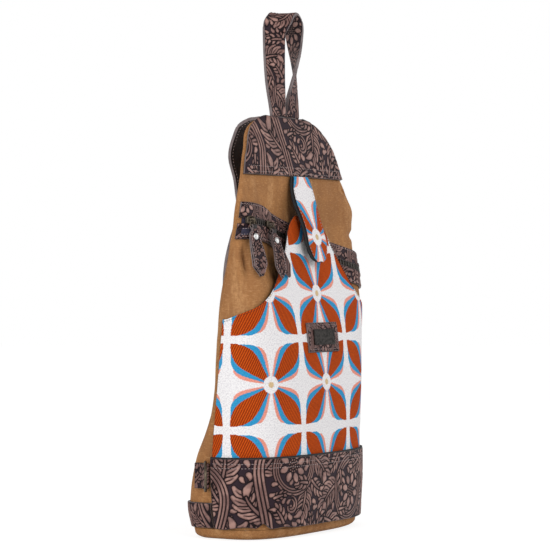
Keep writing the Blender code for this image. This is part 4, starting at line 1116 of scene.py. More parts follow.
def body_place(across, up):
    """Once round the bag: across 0 to 0.6 is the front, the rest the back."""
    height = BAND_FOOT + (BODY_TOP - BAND_FOOT) * up
    if across > 0.9999:
        across = 0.0     # so that the seam's two edges meet
    if across <= 0.6:
        arc = front_half_arc(height) * (across / 0.3 - 1.0)
        return front_point(arc, height, front_fold(arc, height), dented=True)
    share = 1.0 - (across - 0.6) / 0.4
    return on_back(share, height, back_fold(share, height))


class BagSizes(bpy.types.PropertyGroup):
    """Sizes of the cloth and leather detail."""

    stitch_pitch: FloatProperty(name="Stitch pitch", description="From one stitch to the next",
                                default=0.0032, min=0.002, max=0.006, unit="LENGTH")
    stitch_length: FloatProperty(name="Stitch length", description="Length of one stitch",
                                 default=0.0022, min=0.001, max=0.005, unit="LENGTH")
    petal_cell: FloatProperty(name="Petal cell", description="Width of one cell of the jacquard",
                              default=0.0840, min=0.03, max=0.15, unit="LENGTH")


def colour_choice(label, told, default):
    """A colour in the panel."""
    return FloatVectorProperty(name=label, description=told, default=default, min=0.0, max=1.0,
                               subtype="COLOR")


class BagColours(bpy.types.PropertyGroup):
    """Colours of the cloths and leathers."""

    canvas: colour_choice("Canvas", "Waxed canvas", (0.400, 0.180, 0.062))
    canvas_dark: colour_choice("Canvas, dark", "Creased and soiled canvas", (0.250, 0.100, 0.032))
    canvas_light: colour_choice("Canvas, light", "Rubbed canvas", (0.600, 0.330, 0.145))
    leather_raised: colour_choice("Leather, raised", "Raised scrolls", (0.375, 0.212, 0.176))
    leather_mid: colour_choice("Leather, middle", "Darker scrolls", (0.150, 0.074, 0.064))
    leather_ground: colour_choice("Leather, ground", "Open ground of the carving",
                                  (0.024, 0.013, 0.019))
    leather_cut: colour_choice("Leather, cut", "Knife cuts beside the strokes",
                               (0.007, 0.003, 0.004))
    cream: colour_choice("Cream", "Ground of the jacquard", (0.855, 0.840, 0.840))
    rust: colour_choice("Rust", "Petals", (0.620, 0.092, 0.006))
    blue: colour_choice("Blue", "Petal edges", (0.034, 0.310, 0.580))
    pink: colour_choice("Pink", "Outer petal edges", (0.820, 0.310, 0.230))
    seed: colour_choice("Seed", "Dot in each flower", (0.660, 0.456, 0.210))


# Finish: its material's name, two colours, roughness and the scale of the grain or scratches
GRAINS = {
    # The back's two colours are the dark flesh side of the leather, darkened further as painted
    # shade for the hollow between the shoulder strap and the yoke
    "back": ("leather_back_with_painted_shade", (0.024, 0.013, 0.012), (0.006, 0.004, 0.004), 0.62, 260.0),
    "edge": ("leather_edge", (0.190, 0.150, 0.148), (0.105, 0.078, 0.078), 0.45),
    "binding": ("black_binding", (0.006, 0.005, 0.006), (0.003, 0.003, 0.003), 0.85),
    "tape": ("zip_tape_cloth", (0.030, 0.026, 0.056), (0.014, 0.012, 0.026), 0.80, 900.0),
}
METALS = {
    "brass": ("antique_brass", (0.070, 0.055, 0.042), (0.125, 0.098, 0.070), 0.36),
    "chain": ("dark_zip_teeth", (0.030, 0.026, 0.024), (0.060, 0.052, 0.044), 0.42),
    "silver": ("rivet_silver", (0.560, 0.560, 0.555), (0.700, 0.700, 0.690), 0.30),
    "plate": ("bronze_plate", (0.014, 0.012, 0.011), (0.030, 0.026, 0.023), 0.45, 0.6),
}


class BAG_OT_finishes(bpy.types.Operator):
    """Makes every cloth, leather, metal and thread finish"""

    bl_idname = "bag.finishes"
    bl_label = "Finishes"

    def execute(self, context):
        colours = context.scene.bag_colours
        weave = make_weave_group()
        relief = make_relief_group()
        lattice = make_lattice_group()
        cell = context.scene.bag_sizes.petal_cell
        FINISHES["canvas"] = make_canvas_finish(colours, weave)
        FINISHES["jacquard"] = make_jacquard_finish(colours, lattice, weave, cell)
        FINISHES["tooled"] = make_tooled_finish("tooled_leather", colours, relief)
        FINISHES["dull_tooled"] = make_tooled_finish("dull_tooled_leather", colours, relief, 0.55)
        for key, settings in GRAINS.items():
            FINISHES[key] = make_grain_finish(*settings)
        for key, settings in METALS.items():
            FINISHES[key] = make_metal_finish(*settings)
        FINISHES["pale_thread"] = make_thread_finish("pale_thread", (0.420, 0.330, 0.320),
                                                     (0.250, 0.185, 0.180))
        return {"FINISHED"}


class BAG_OT_canvas(bpy.types.Operator):
    """Sews the soft canvas body and its base"""

    bl_idname = "bag.canvas"
    bl_label = "Canvas body"

    def execute(self, context):
        bm = laid_grid(250, 150, body_place, body_cut)
        bmesh.ops.remove_doubles(bm, verts=bm.verts, dist=0.00002)
        bmesh.ops.holes_fill(bm, edges=[edge for edge in bm.edges if edge.is_boundary], sides=0)
        bmesh.ops.recalc_face_normals(bm, faces=bm.faces)
        seat(object_from("canvas_shell", bm, ["canvas"], 60.0), ["canvas_body"])
        self.make_base()
        return {"FINISHED"}

    def make_base(self):
        """The base's rounded foot: a cap drawn up through rings of height and inset."""
        half_width, seam_y, front_y, back_y, front_power, back_power = rib(BAND_FOOT)
        profile = ((0.0, 0.0095), (0.0003, 0.0070), (0.0012, 0.0046), (0.0026, 0.0024),
                   (0.0046, 0.0009), (BAND_FOOT - TOUCH, 0.0))
        segments = 160

        def ring(height, inset):
            points = []
            for step in range(segments):
                angle = 2.0 * math.pi * step / segments
                cosine, sine = math.cos(angle), math.sin(angle)
                power = front_power if sine < 0.0 else back_power
                depth = (seam_y - front_y if sine < 0.0 else back_y - seam_y) - inset
                across = math.copysign(abs(cosine) ** (2.0 / power), cosine)
                along = math.copysign(abs(sine) ** (2.0 / power), sine)
                points.append(Vector(((half_width - inset) * across, seam_y + depth * along,
                                      height)))
            return points

        bm = bmesh.new()
        bmesh.ops.create_circle(bm, cap_ends=True, segments=segments, radius=1.0)
        foot = cap = bm.faces[:][0]
        for height, inset in profile:
            if height > 0.0:
                made = bmesh.ops.extrude_face_region(bm, geom=[cap])["geom"]
                if cap is not foot:
                    bmesh.ops.delete(bm, geom=[cap], context="FACES_ONLY")
                cap = next(item for item in made if isinstance(item, bmesh.types.BMFace))
            for vert, place in zip(cap.verts, ring(height, inset)):
                vert.co = place
        bmesh.ops.recalc_face_normals(bm, faces=bm.faces)
        layer = bm.loops.layers.uv.new("cut")
        for face in bm.faces:
            for loop in face.loops:
                loop[layer].uv = (loop.vert.co.x, loop.vert.co.y + loop.vert.co.z)
        seat(object_from("base_cloth", bm, ["canvas"], 70.0), ["base_panel"])


class BAG_OT_pocket(bpy.types.Operator):
    """Lays the bell-shaped jacquard pocket and its closure tab"""

    bl_idname = "bag.pocket"
    bl_label = "Pocket and tab"

    def execute(self, context):
        def spot(across, up):
            share = 2.0 * across - 1.0
            top = smooth_between(POCKET_EDGE, abs(share) * front_half_arc(POCKET_SIDE_TOP))
            height = POCKET_FOOT + (top - POCKET_FOOT) * up
            return share * (front_half_arc(height) - POCKET_SEAM_GAP), height

        def lift(across, up):
            arc, height = spot(across, up)
            puff = noise.noise(Vector((arc * 21.0, 4.0, height * 21.0))) * 0.0006
            puff += 0.0028 * bump(height, 0.150, 0.085) * bump(arc, 0.074, 0.042)
            return SOFT_GAP + puff * ease((height - 0.085) / 0.02)

        seat(front_sheet("pocket_cloth", (170, 110), spot, lift, CANVAS, BOUND_JACQUARD),
             ["front_pocket"])
        hem = [spot(0.004 + 0.992 * step / 200, 0.988) for step in range(201)]
        sew("pocket_threads", [front_line(hem, CLOTH_FACE)], "binding",
            pitch=0.0026, length=0.0020)
        self.make_tab()
        return {"FINISHED"}

    def make_tab(self):
        """The tab's cloth over its black backing, set apart sideways so that the binding shows."""
        top = YOKE_SEAM - 2.0 * TOUCH
        tip = min(height for height, _ in TAB_EDGE)
        cloth = 0.0012
        grid = (24, 70)

        def spot(across, up, wider=0.0, left=0.0):
            height = top + (tip - top) * (1.0 - up ** 1.35)
            arc = (2.0 * across - 1.0) * (smooth_between(TAB_EDGE, height) + wider)
            return arc + left * (1.0 - across) * ease(up / 0.12), height

        def lift(across, up):
            height = spot(across, up)[1]
            crown = 0.0008 * (1.0 - (2.0 * across - 1.0) ** 2)
            return CLOTH_FACE + tab_stand(height) + crown * ease((YOKE_SEAM - height) / 0.02)

        def cloth_spot(across, up):
            return spot(across, up, left=0.0014)

        def cloth_cut(across, up):
            arc, height = cloth_spot(across, up)
            return arc, height - TAB_FLOWER + LATTICE_RISE

        seat(front_sheet("tab_cloth", grid, cloth_spot,
                         lambda across, up: lift(across, up) + TAB_THICK - cloth,
                         cloth, BOUND_JACQUARD, cloth_cut), ["closure_tab"])
        seat(front_sheet("tab_backing", grid, lambda across, up: spot(across, up, 0.0005, -0.0014),
                         lift, TAB_THICK - cloth - 0.0002, ["binding"] * 3, spot))
        lines = []
        for across in (0.06, 0.94):
            ups = [0.05 + 0.93 * step / 60 for step in range(61)]
            lines.append([front_line([spot(across, up)], lift(across, up) + TAB_THICK)[0]
                          for up in ups])
        sew("tab_threads", lines)


class BAG_OT_leather(bpy.types.Operator):
    """Lays the yoke, the lower band, the corners and the zip's facings"""

    bl_idname = "bag.leather"
    bl_label = "Leather panels"

    def execute(self, context):
        self.make_yoke()
        self.make_band()
        self.make_corners()
        self.make_facings()
        return {"FINISHED"}

    def make_yoke(self):
        tall = BODY_TOP - SEAM_EDGE - YOKE_SEAM

        def spot(across, up):
            height = YOKE_SEAM + tall * up
            return (2.0 * across - 1.0) * (front_half_arc(height) - YOKE_SEAM_GAP), height

        seat(front_sheet("yoke_leather", grid_size(0.190, tall), spot, SOFT_GAP, LEATHER, TOOLED,
                         tool=(2.10, 0.0, 0.020, 0.050)), ["front_yoke"])
        sew("yoke_threads", [level_line(YOKE_SEAM + rise, 0.005, 60, LEATHER_FACE)
                             for rise in (0.0026, 0.0078)])

    def make_band(self):
        """The band and the dark rim along its upper edge; its foot is uneven at the left."""
        foot = BAND_FOOT + SEAM_EDGE
        under = CLOTH_FACE + SOFT_GAP

        def spot(across, up):
            share = 2.0 * across - 1.0
            arc = share * front_half_arc(foot)
            low = foot + sum(rise * bump(arc, middle, reach) for rise, middle, reach in BAND_WAVES)
            height = low + (BAND_TOP - low) * up
            return share * (front_half_arc(height) - SEAM_EDGE), height

        def rim_spot(across, up):
            height = BAND_TOP - 0.0008 + 0.0022 * up
            return (2.0 * across - 1.0) * (front_half_arc(height) - SEAM_EDGE), height

        seat(front_sheet("band_leather", grid_size(0.236, BAND_TOP - foot), spot, under, LEATHER,
                         TOOLED, tool=(1.90, 0.0, 0.060, 0.006)), ["lower_band"])
        sew("band_threads", [level_line(BAND_TOP - drop, 0.003, 90, under + LEATHER + THREAD_LIFT)
                             for drop in (0.0046, 0.0086)])
        seat(front_sheet("band_rim", (150, 3), rim_spot, under + 0.0004, LEATHER * 0.75,
                         ["binding"] * 3))

    def make_corners(self):
        foot = BAND_FOOT + SEAM_EDGE
        tall = CORNER_TOP - foot
        for side, name in ((-1.0, "corner_left"), (1.0, "corner_right")):
            def place(across, up):
                share = CORNER_NEAR + (CORNER_FAR - CORNER_NEAR) * across
                point = on_back(share, foot + tall * up, TOUCH)
                point.x *= -side
                return point

            def cut(across, up):
                return 0.4 + 0.075 * across * side, foot + tall * up

            seat(laid_sheet(name + "_leather", grid_size(0.085, tall), place, cut, LEATHER, TOOLED,
                            tool=(1.4, 0.0, 0.05, 0.01), flip=side < 0), [name])

    def make_facings(self):
        """The leather above and below the zip, which covers the tape's outer part."""
        offset = (TAPE_WIDTH + FACING_WIDTH) / 2.0 + TOUCH
        over_tape = TAPE_WIDTH / 2.0 + TOUCH - FACING_CLEAR
        width = FACING_WIDTH + over_tape
        lines = []
        for side, name in ((1.0, "upper"), (-1.0, "lower")):
            ends = {}

            def spot(across, up):
                rise = side * (offset - over_tape / 2.0) + (up - 0.5) * width
                key = round(rise, 6)
                if key not in ends:
                    ends[key] = (zip_end(-1.0, rise) - FACING_LONGER,
                                 zip_end(1.0, rise) + FACING_LONGER)
                left, right = ends[key]
                arc = left + (right - left) * across
                return arc, zip_height(arc) + rise

            def lift(across, up):
                inner = (1.0 - up if side > 0.0 else up) * width - FACING_WIDTH
                return SOFT_GAP + (TAPE_THICK + 0.0001) * ease((inner + 0.0014) / 0.0014)

            seat(front_sheet("facing_" + name, grid_size(0.225, width), spot, lift, LEATHER,
                             TOOLED, dented=True, tool=(1.3, 0.35 * side, 0.02, 0.03)),
                 ["zip_facing_" + name])
            lines += [front_line([spot(step / 80, share) for step in range(81)], LEATHER_FACE, True)
                      for share in (0.14, 0.86)]
        sew("facing_threads", lines)
        self.make_tape_end(offset)

    def make_tape_end(self, offset):
        """The zip tape's loose end, folded out over the lower facing and sewn down."""
        under = SOFT_GAP + LEATHER + TOOL_RISE

        def spot(across, up):
            rise = -offset + 0.0008 - 0.0034 + 0.0068 * up
            arc = zip_end(-1.0, rise) + 0.0006 + 0.0145 * across
            return arc, zip_height(arc) + rise

        seat(front_sheet("zip_tape_end", (22, 10), spot, under, TAPE_THICK, ["tape"] * 3,
                         dented=True))
        sew("tape_end_threads", [front_line([spot(step / 20, share) for step in range(21)],
                                            under + TAPE_THICK, True) for share in (0.10, 0.90)],
            pitch=0.0028, length=0.0020)


def smooth_rows(rows, steps, end_side=None):
    """Strap stations read from a smooth curve through rows, turned to end_side at the last."""
    last = len(rows) - 1

    def at(value):
        return [smooth_between([(index, row[column]) for index, row in enumerate(rows)], value)
                for column in range(5)]

    stations = []
    for step in range(steps + 1):
        value = last * step / steps
        x, y, height, half, lift = at(value)
        before = Vector(at(max(value - 0.05, 0.0))[:3])
        after = Vector(at(min(value + 0.05, last))[:3])
        along = (after - before).normalized()
        side = along.cross(Vector((0.05, 1.0, lift))).normalized()
        if end_side:
            side = side.lerp(end_side, ease(step / steps)).normalized()
        stations.append((Vector((x, y, height)), half, side))
    return stations


def hairpin(bar, away, side, half):
    """Strap stations from a sewn-down end, round a bar and back out to the strap's face."""
    face = side.cross(away).normalized()
    if face.y < 0.0:
        face.negate()
    radius = SLIDE_WIRE + TOUCH + STRAP_LEATHER / 2.0
    ply = STRAP_LEATHER / 2.0 + TOUCH
    under = [(STRAP_SEWN, -ply), (0.0100, -ply), (0.0045, -radius * 0.95)]
    turn = [(radius * math.cos(math.radians(angle)), radius * math.sin(math.radians(angle)))
            for angle in (-115.0, -145.0, -180.0, -215.0, -245.0)]
    over = [(0.0045, radius * 0.95), (0.0100, ply)]
    return finer([(bar + away * a + face * b, half, side) for a, b in under + turn + over])


def slide_axes():
    """The strap slide's middle, the way the strap runs through it, and the way across."""
    along = Vector(SLIDE_LINE).normalized()
    return Vector(SLIDE_PLACE), along, along.cross(Vector((0.05, 1.0, 0.0))).normalized()


def ring_wall():
    """How far out the bar of a D-ring lies from the bag's middle."""
    return rib(RING_HEIGHT)[0] + TOUCH + RING_WIRE + TOUCH + TAB_PLY


def hook_eye_bar():
    """The swivel eye's middle, the way the strap runs to it, and the direction of its bar."""
    out = Vector((math.sin(RIGHT_SWING), -math.cos(RIGHT_SWING), 0.0))
    spot = Vector((ring_wall(), RING_AXIS_Y, RING_HEIGHT)) + out * RING_REACH
    line = Vector(HOOK_LINE).normalized()
    bar = spot + line * (EYE_FOOT + EYE_HEIGHT)
    run = (bar - Vector(LOWER_STRAP_ROWS[-1][:3])).normalized()
    return bar, run, run.cross(line).normalized()


def finer(stations, factor=4):
    """More stations between the given ones, on a smooth curve."""
    made = []
    for step in range((len(stations) - 1) * factor + 1):
        value = step / factor
        near = [key for key in range(len(stations)) if abs(key - value) < 3.01]
        point = Vector([smooth_between([(key, stations[key][0][axis]) for key in near], value)
                        for axis in range(3)])
        low = min(int(value), len(stations) - 2)
        share = value - low
        half = stations[low][1] + (stations[low + 1][1] - stations[low][1]) * share
        side = stations[low][2].lerp(stations[low + 1][2], share).normalized()
        made.append((point, half, side))
    return made


def strap_piece(name, stations, columns, finishes, tool, rounding=0.0007, flip=True):
    """A leather strap through stations of middle point, half width and direction across."""
    last = len(stations) - 1
    lengths = [0.0]
    for before, after in zip(stations, stations[1:]):
        lengths.append(lengths[-1] + (after[0] - before[0]).length)

    def place(across, up):
        middle, half, side = stations[round(up * last)]
        return middle - side * (across - 0.5) * 2.0 * half

    def cut(across, up):
        index = round(up * last)
        return (across - 0.5) * 2.0 * stations[index][1], lengths[index]

    return laid_sheet(name, (columns, last), place, cut, STRAP_LEATHER, finishes, offset=0.0,
                      rounding=rounding, tool=tool, flip=flip)


def strap_edge_lines(stations, inset, lift):
    """Stitch lines near both edges of a strap, on both of its faces."""
    lines = []
    for face in (-1.0, 1.0):
        for edge in (-1.0, 1.0):
            line = []
            for before, here, after in zip(stations, stations[1:], stations[2:]):
                along = (after[0] - before[0]).normalized()
                normal = here[2].cross(along).normalized() * face
                line.append((here[0] + here[2] * edge * (here[1] - inset) + normal * lift, normal))
            lines.append(line)
    return lines


class BAG_OT_straps(bpy.types.Operator):
    """Makes the carry loop, the shoulder strap and the lower strap"""

    bl_idname = "bag.straps"
    bl_label = "Carry loop and straps"

    def execute(self, context):
        seat(strap_piece("carry_loop", self.loop_stations(), 36, ("tooled", "tooled", "edge"),
                         (1.6, 0.25, 0.05, 0.03), rounding=0.0008, flip=False),
             ["handle_strap"])
        middle, along, side = slide_axes()
        pin = hairpin(middle - along * SLIDE_HALF, -along, side, STRAP_HALF)[::-1]
        stations = [self.softened(*station) for station in smooth_rows(STRAP_ROWS, 330) + pin]
        seat(strap_piece("shoulder_strap_leather", stations, 88, TOOLED, (1.6, 0.1, 0.04, 0.0)),
             ["shoulder_strap"])
        sew("strap_threads", strap_edge_lines(stations[:316:3], 0.0032,
                                              STRAP_LEATHER / 2.0 + THREAD_LIFT))
        bar, run, eye_side = hook_eye_bar()
        head = hairpin(middle + along * SLIDE_HALF, along, side, STRAP_HALF)
        foot = hairpin(bar, -run, eye_side, STRAP_TIP_HALF)[::-1]
        stations = head + smooth_rows(LOWER_STRAP_ROWS, 80, eye_side) + foot
        seat(strap_piece("lower_strap_leather", stations, 46, TOOLED, (1.5, 0.1, 0.09, 0.03)),
             ["lower_strap"])
        return {"FINISHED"}

    def softened(self, point, half, side):
        """A station of the shoulder strap where the soft leather lies, not the frame's."""
        shift = sum(move * bump(point.z, height, reach) for height, reach, move in STRAP_SHIFTS)
        lost = sum(less * bump(point.z, height, reach) for height, reach, less in STRAP_NARROWS)
        return point + Vector((0.0, shift, 0.0)), half - lost, side

    def loop_stations(self):
        """Stations of the carry loop, whose strand turns half round on its way."""
        steps = 330
        last = len(HANDLE_LINE) - 1
        across, heights = ([(index, row[axis]) for index, row in enumerate(HANDLE_LINE)]
                           for axis in range(2))
        turns = list(enumerate(HANDLE_TURNS))

        def spot(value):
            x, z = smooth_between(across, value), smooth_between(heights, value)
            rounder = bump(z, 0.4925, 0.0110) * ease((0.006 - x) / 0.010)
            return Vector((x + 0.0040 * rounder, HANDLE_Y, z - 0.0008 * rounder))

        stations = []
        for step in range(steps + 1):
            value = last * step / steps
            turn = math.radians(smooth_between(turns, value))
            along = (spot(value + 0.1) - spot(value - 0.1)).normalized()
            side = Vector((math.cos(turn), math.sin(turn), 0.0))
            if 0 < step < steps:
                side = (side - along * side.dot(along)).normalized()
            stations.append((spot(value), HANDLE_WIDTH / 2.0, -side))
        return stations


def slider_frame(run):
    """A slider's arc and place, and its outward axis, this far along from the tape's left end."""
    arc = zip_end(-1.0) + run
    lift = SOFT_GAP + TAPE_THICK + TOUCH + CHAIN_HEIGHT + TOUCH
    before, place, after = (front_point(spot, zip_height(spot), lift, dented=True)
                            for spot in (arc - 0.003, arc, arc + 0.003))
    along = (after - before).normalized()
    out = front_normal(arc, zip_height(arc))
    return arc, place, (out - along * out.dot(along)).normalized()


def slider_reach(x, height):
    """The arc length at which the front skin is this far from the bag's middle."""
    low, high = 0.0, front_half_arc(height)
    for _ in range(30):
        middle = (low + high) / 2.0
        if on_front(middle, height).x < abs(x):
            low = middle
        else:
            high = middle
    return low


def pull_axes(run):
    """Where a pull's fold is, the way across it, the way it falls and its outer face."""
    arc, place, out = slider_frame(run)
    level = (on_front(arc + 0.0030, place.z) - on_front(arc - 0.0030, place.z)).normalized()
    axis = place + out * (SLIDER_THICK + CROWN_HEIGHT * CROWN_ARCH * 0.52)
    tip_height = axis.z - PULL_REST_DROP
    tip_arc = math.copysign(slider_reach(axis.x, tip_height), axis.x)
    rest = front_point(tip_arc, tip_height, CLOTH_FACE + PULL_THICK / 2.0 + PULL_CLEAR)
    fall = (rest - axis).normalized()
    fall = (fall - level * fall.dot(level)).normalized()
    face = level.cross(-fall).normalized()
    if face.dot(out) < 0.0:
        face.negate()
    return axis + fall * BAIL_LENGTH, level, fall, face


class BAG_OT_zip(bpy.types.Operator):
    """Gives the zip and sliders their finishes, and makes the leather pulls"""

    bl_idname = "bag.zip"
    bl_label = "Zip and pulls"

    def execute(self, context):
        refinish("zip_chain", "chain")
        refinish("zip_tape", "tape")
        for side_name, run in zip(("left", "right"), SLIDER_RUNS):
            refinish("zip_slider_" + side_name, "brass")
            for node, finish, slot in (("pull_bail_", "brass", "hardware"),
                                       ("pull_rivet_", "silver", "rivet")):
                seat(polished_copy(node + side_name, finish, 2), [node + side_name],
                     "pull_" + side_name)
            self.make_pull(side_name, run)
        return {"FINISHED"}

    def make_pull(self, side_name, run):
        """Two plies of one folded strip, each turned a little about the rivet."""
        fold, level, fall, face = pull_axes(run)
        body = "pull_" + side_name
        neck = BAIL_WIDTH / 2.0 - BAIL_WIRE - 3.0 * BAIL_ROOM
        half = PULL_WIDTH / 2.0
        start, pin, ply = 0.0020, 0.0095, PULL_THICK / 2.0 - 0.0002
        edge = ((start, neck), (0.0034, neck), (0.0068, PULL_TOP_WIDTH / 2.0),
                ((PULL_LENGTH - PULL_POINT) * 0.6, half * 0.9), (PULL_LENGTH - PULL_POINT, half),
                (PULL_LENGTH, half * 0.10))

        def reach_at(drop):
            for (d0, r0), (d1, r1) in zip(edge, edge[1:]):
                if drop <= d1:
                    return r0 + (r1 - r0) * (drop - d0) / (d1 - d0)
            return edge[-1][1]

        for layer, lift, turn in zip(("front", "back"), (0.25, -0.25), PULL_TURNS[side_name]):
            def flat(across, up):
                drop = start + (PULL_LENGTH - start) * (1.0 - up)
                wide = (2.0 * across - 1.0) * reach_at(drop)
                swing = turn * ease((drop - 0.5 * pin) / (2.5 * pin))
                return (wide * math.cos(swing) + (drop - pin) * math.sin(swing),
                        pin + (drop - pin) * math.cos(swing) - wide * math.sin(swing), drop)

            def place(across, up):
                wide, down, drop = flat(across, up)
                curl = 0.0006 * math.sin(math.pi * drop / PULL_LENGTH)
                spread = PULL_THICK * lift * (1.0 + 3.5 * abs(turn) * ease((drop - pin) / 0.02))
                return fold + fall * down + level * wide + face * (curl + spread)

            def cut(across, up):
                wide, down, _ = flat(across, up)
                return wide + run, -down

            piece = laid_sheet("pull_" + layer + "_" + side_name,
                               grid_size(PULL_WIDTH, PULL_LENGTH), place, cut, ply,
                               ("dull_tooled", "dull_tooled", "edge"), offset=0.0,
                               tool=(1.35, 0.2, 0.05, 0.01))
            if layer == "back":
                seat(piece, body=body)
                continue
            seat(piece, ["zip_pull_" + side_name], body)
            out = face * (ply / 2.0 + THREAD_LIFT)
            lines = [[(place(across, 0.96 - 0.88 * step / 60) + out, face) for step in range(61)]
                     for across in (0.10, 0.90)]
        sew("pull_threads_" + side_name, lines, body=body, pitch=0.0026, length=0.0019)
        self.make_fold("pull_fold_" + side_name, body, fold, Matrix((fall, face, level)), neck)

    def make_fold(self, name, body, fold, axes, neck):
        """The strip's fold round the bail's bar."""
        level = axes[2]
        bm = bmesh.new()
        ring = bmesh.ops.create_circle(bm, segments=20,
                                       radius=BAIL_WIRE + BAIL_ROOM + PULL_THICK / 4.0)
        matrix = Matrix.Translation(fold - level * neck) @ axes.transposed().to_4x4()
        bmesh.ops.transform(bm, matrix=matrix, verts=ring["verts"])
        made = bmesh.ops.extrude_edge_only(bm, edges=bm.edges)["geom"]
        bmesh.ops.translate(bm, vec=level * 2.0 * neck,
                            verts=[item for item in made if isinstance(item, bmesh.types.BMVert)])
        bmesh.ops.recalc_face_normals(bm, faces=bm.faces)
        eye = object_from(name, bm, ["back", "back", "edge"])
        add_modifier(eye, "SOLIDIFY", thickness=PULL_THICK / 2.0, offset=0.0, material_offset=1,
                     material_offset_rim=2)
        seat(eye, body=body)


class BAG_OT_label(bpy.types.Operator):
    """Sews the label's leather patch on and sets the bare plate in it"""

    bl_idname = "bag.label"
    bl_label = "Label"

    def execute(self, context):
        lift = CLOTH_FACE + TOUCH
        thickness = LEATHER * 0.8
        width, tall = LABEL_SIZE

        def spot(across, up):
            return LABEL_X + (across - 0.5) * width, LABEL_HEIGHT + (up - 0.5) * tall

        seat(front_sheet("label_leather", grid_size(width, tall), spot, lift, thickness,
                         DULL_TOOLED, rounding=0.0005, tool=(1.15, 0.0, 0.03, 0.02)),
             ["label_patch"])
        left, low = LABEL_INSET / width, LABEL_INSET / tall
        corners = [(left, low), (1 - left, low), (1 - left, 1 - low), (left, 1 - low), (left, low)]
        run = []
        for (a0, u0), (a1, u1) in zip(corners, corners[1:]):
            run += [spot(a0 + (a1 - a0) * step / 12, u0 + (u1 - u0) * step / 12)
                    for step in range(13)]
        sew("label_threads", [front_line(run, lift + thickness)],
            pitch=0.0030, length=0.0019)
        plate = polished_copy("label_plate", "plate", 0, 30.0)
        add_modifier(plate, "BEVEL", width=0.0005, segments=2, limit_method="ANGLE",
                     angle_limit=math.radians(50.0))
        seat(plate, ["label_plate"])
        return {"FINISHED"}


class BAG_OT_hardware(bpy.types.Operator):
    """Polishes the rings, the strap slide, the snap hook and the snap"""

    bl_idname = "bag.hardware"
    bl_label = "Rings, slide and hook"

    def execute(self, context):
        for node, body in (("d_ring_left", "ring_left"), ("d_ring_right", "ring_right"),
                           ("strap_slide", "bag"), ("hook_gate", "gate")):
            seat(polished_copy(node, "brass"), [node], body)
        for node in ("hook_eye", "hook_body", "snap_stud", "snap_socket"):
            refinish(node, "brass")
        self.make_ring_tab(-1.0, "left")
        self.make_ring_tab(1.0, "right")
        return {"FINISHED"}

    def make_ring_tab(self, side, side_name):
        """Leather folded round the ring's bar, both plies sewn flat towards the back."""
        axis = Vector((side * ring_wall(), RING_AXIS_Y, RING_HEIGHT))
        middle = RING_WIRE + TOUCH + TAB_PLY / 2.0
        flat = middle * 1.5
        outer_ply = TAB_PLY * 1.55 - (RING_WIRE + TOUCH + TAB_PLY)
        line = [(TAB_SEWN_LENGTH, -middle)]
        for step in range(25):
            angle = math.pi * step / 24.0
            line.append((-middle * math.sin(angle), -middle * math.cos(angle)))
        for share in (0.2, 0.4, 0.6, 0.8, 1.0):
            line.append((flat * share, middle + (outer_ply - middle) * ease(share)))
        for step in range(1, 15):
            line.append((flat + (TAB_SEWN_LENGTH - flat) * step / 14.0, outer_ply))
        lengths = [0.0]
        for before, after in zip(line, line[1:]):
            lengths.append(lengths[-1] + math.dist(before, after))
        last = len(line) - 1

        def place(across, up):
            along, out = line[round(up * last)]
            return axis + Vector((side * out, along, (across - 0.5) * TAB_HEIGHT))

        def cut(across, up):
            return (across - 0.5) * TAB_HEIGHT + side * 0.7, lengths[round(up * last)]

        seat(laid_sheet("ring_tab_leather_" + side_name, (36, last), place, cut, TAB_PLY,
                        DULL_TOOLED, offset=0.0, tool=(1.4, 0.0, 0.03, 0.04), flip=side > 0),
             ["ring_tab_" + side_name])


def set_up(name, data, place, way):
    """A camera or lamp at place that looks along way."""
    thing = bpy.data.objects.new(name, data)
    bpy.context.collection.objects.link(thing)
    thing.location = place
    thing.rotation_mode = "QUATERNION"
    thing.rotation_quaternion = way.to_track_quat("-Z", "Y")
    return thing


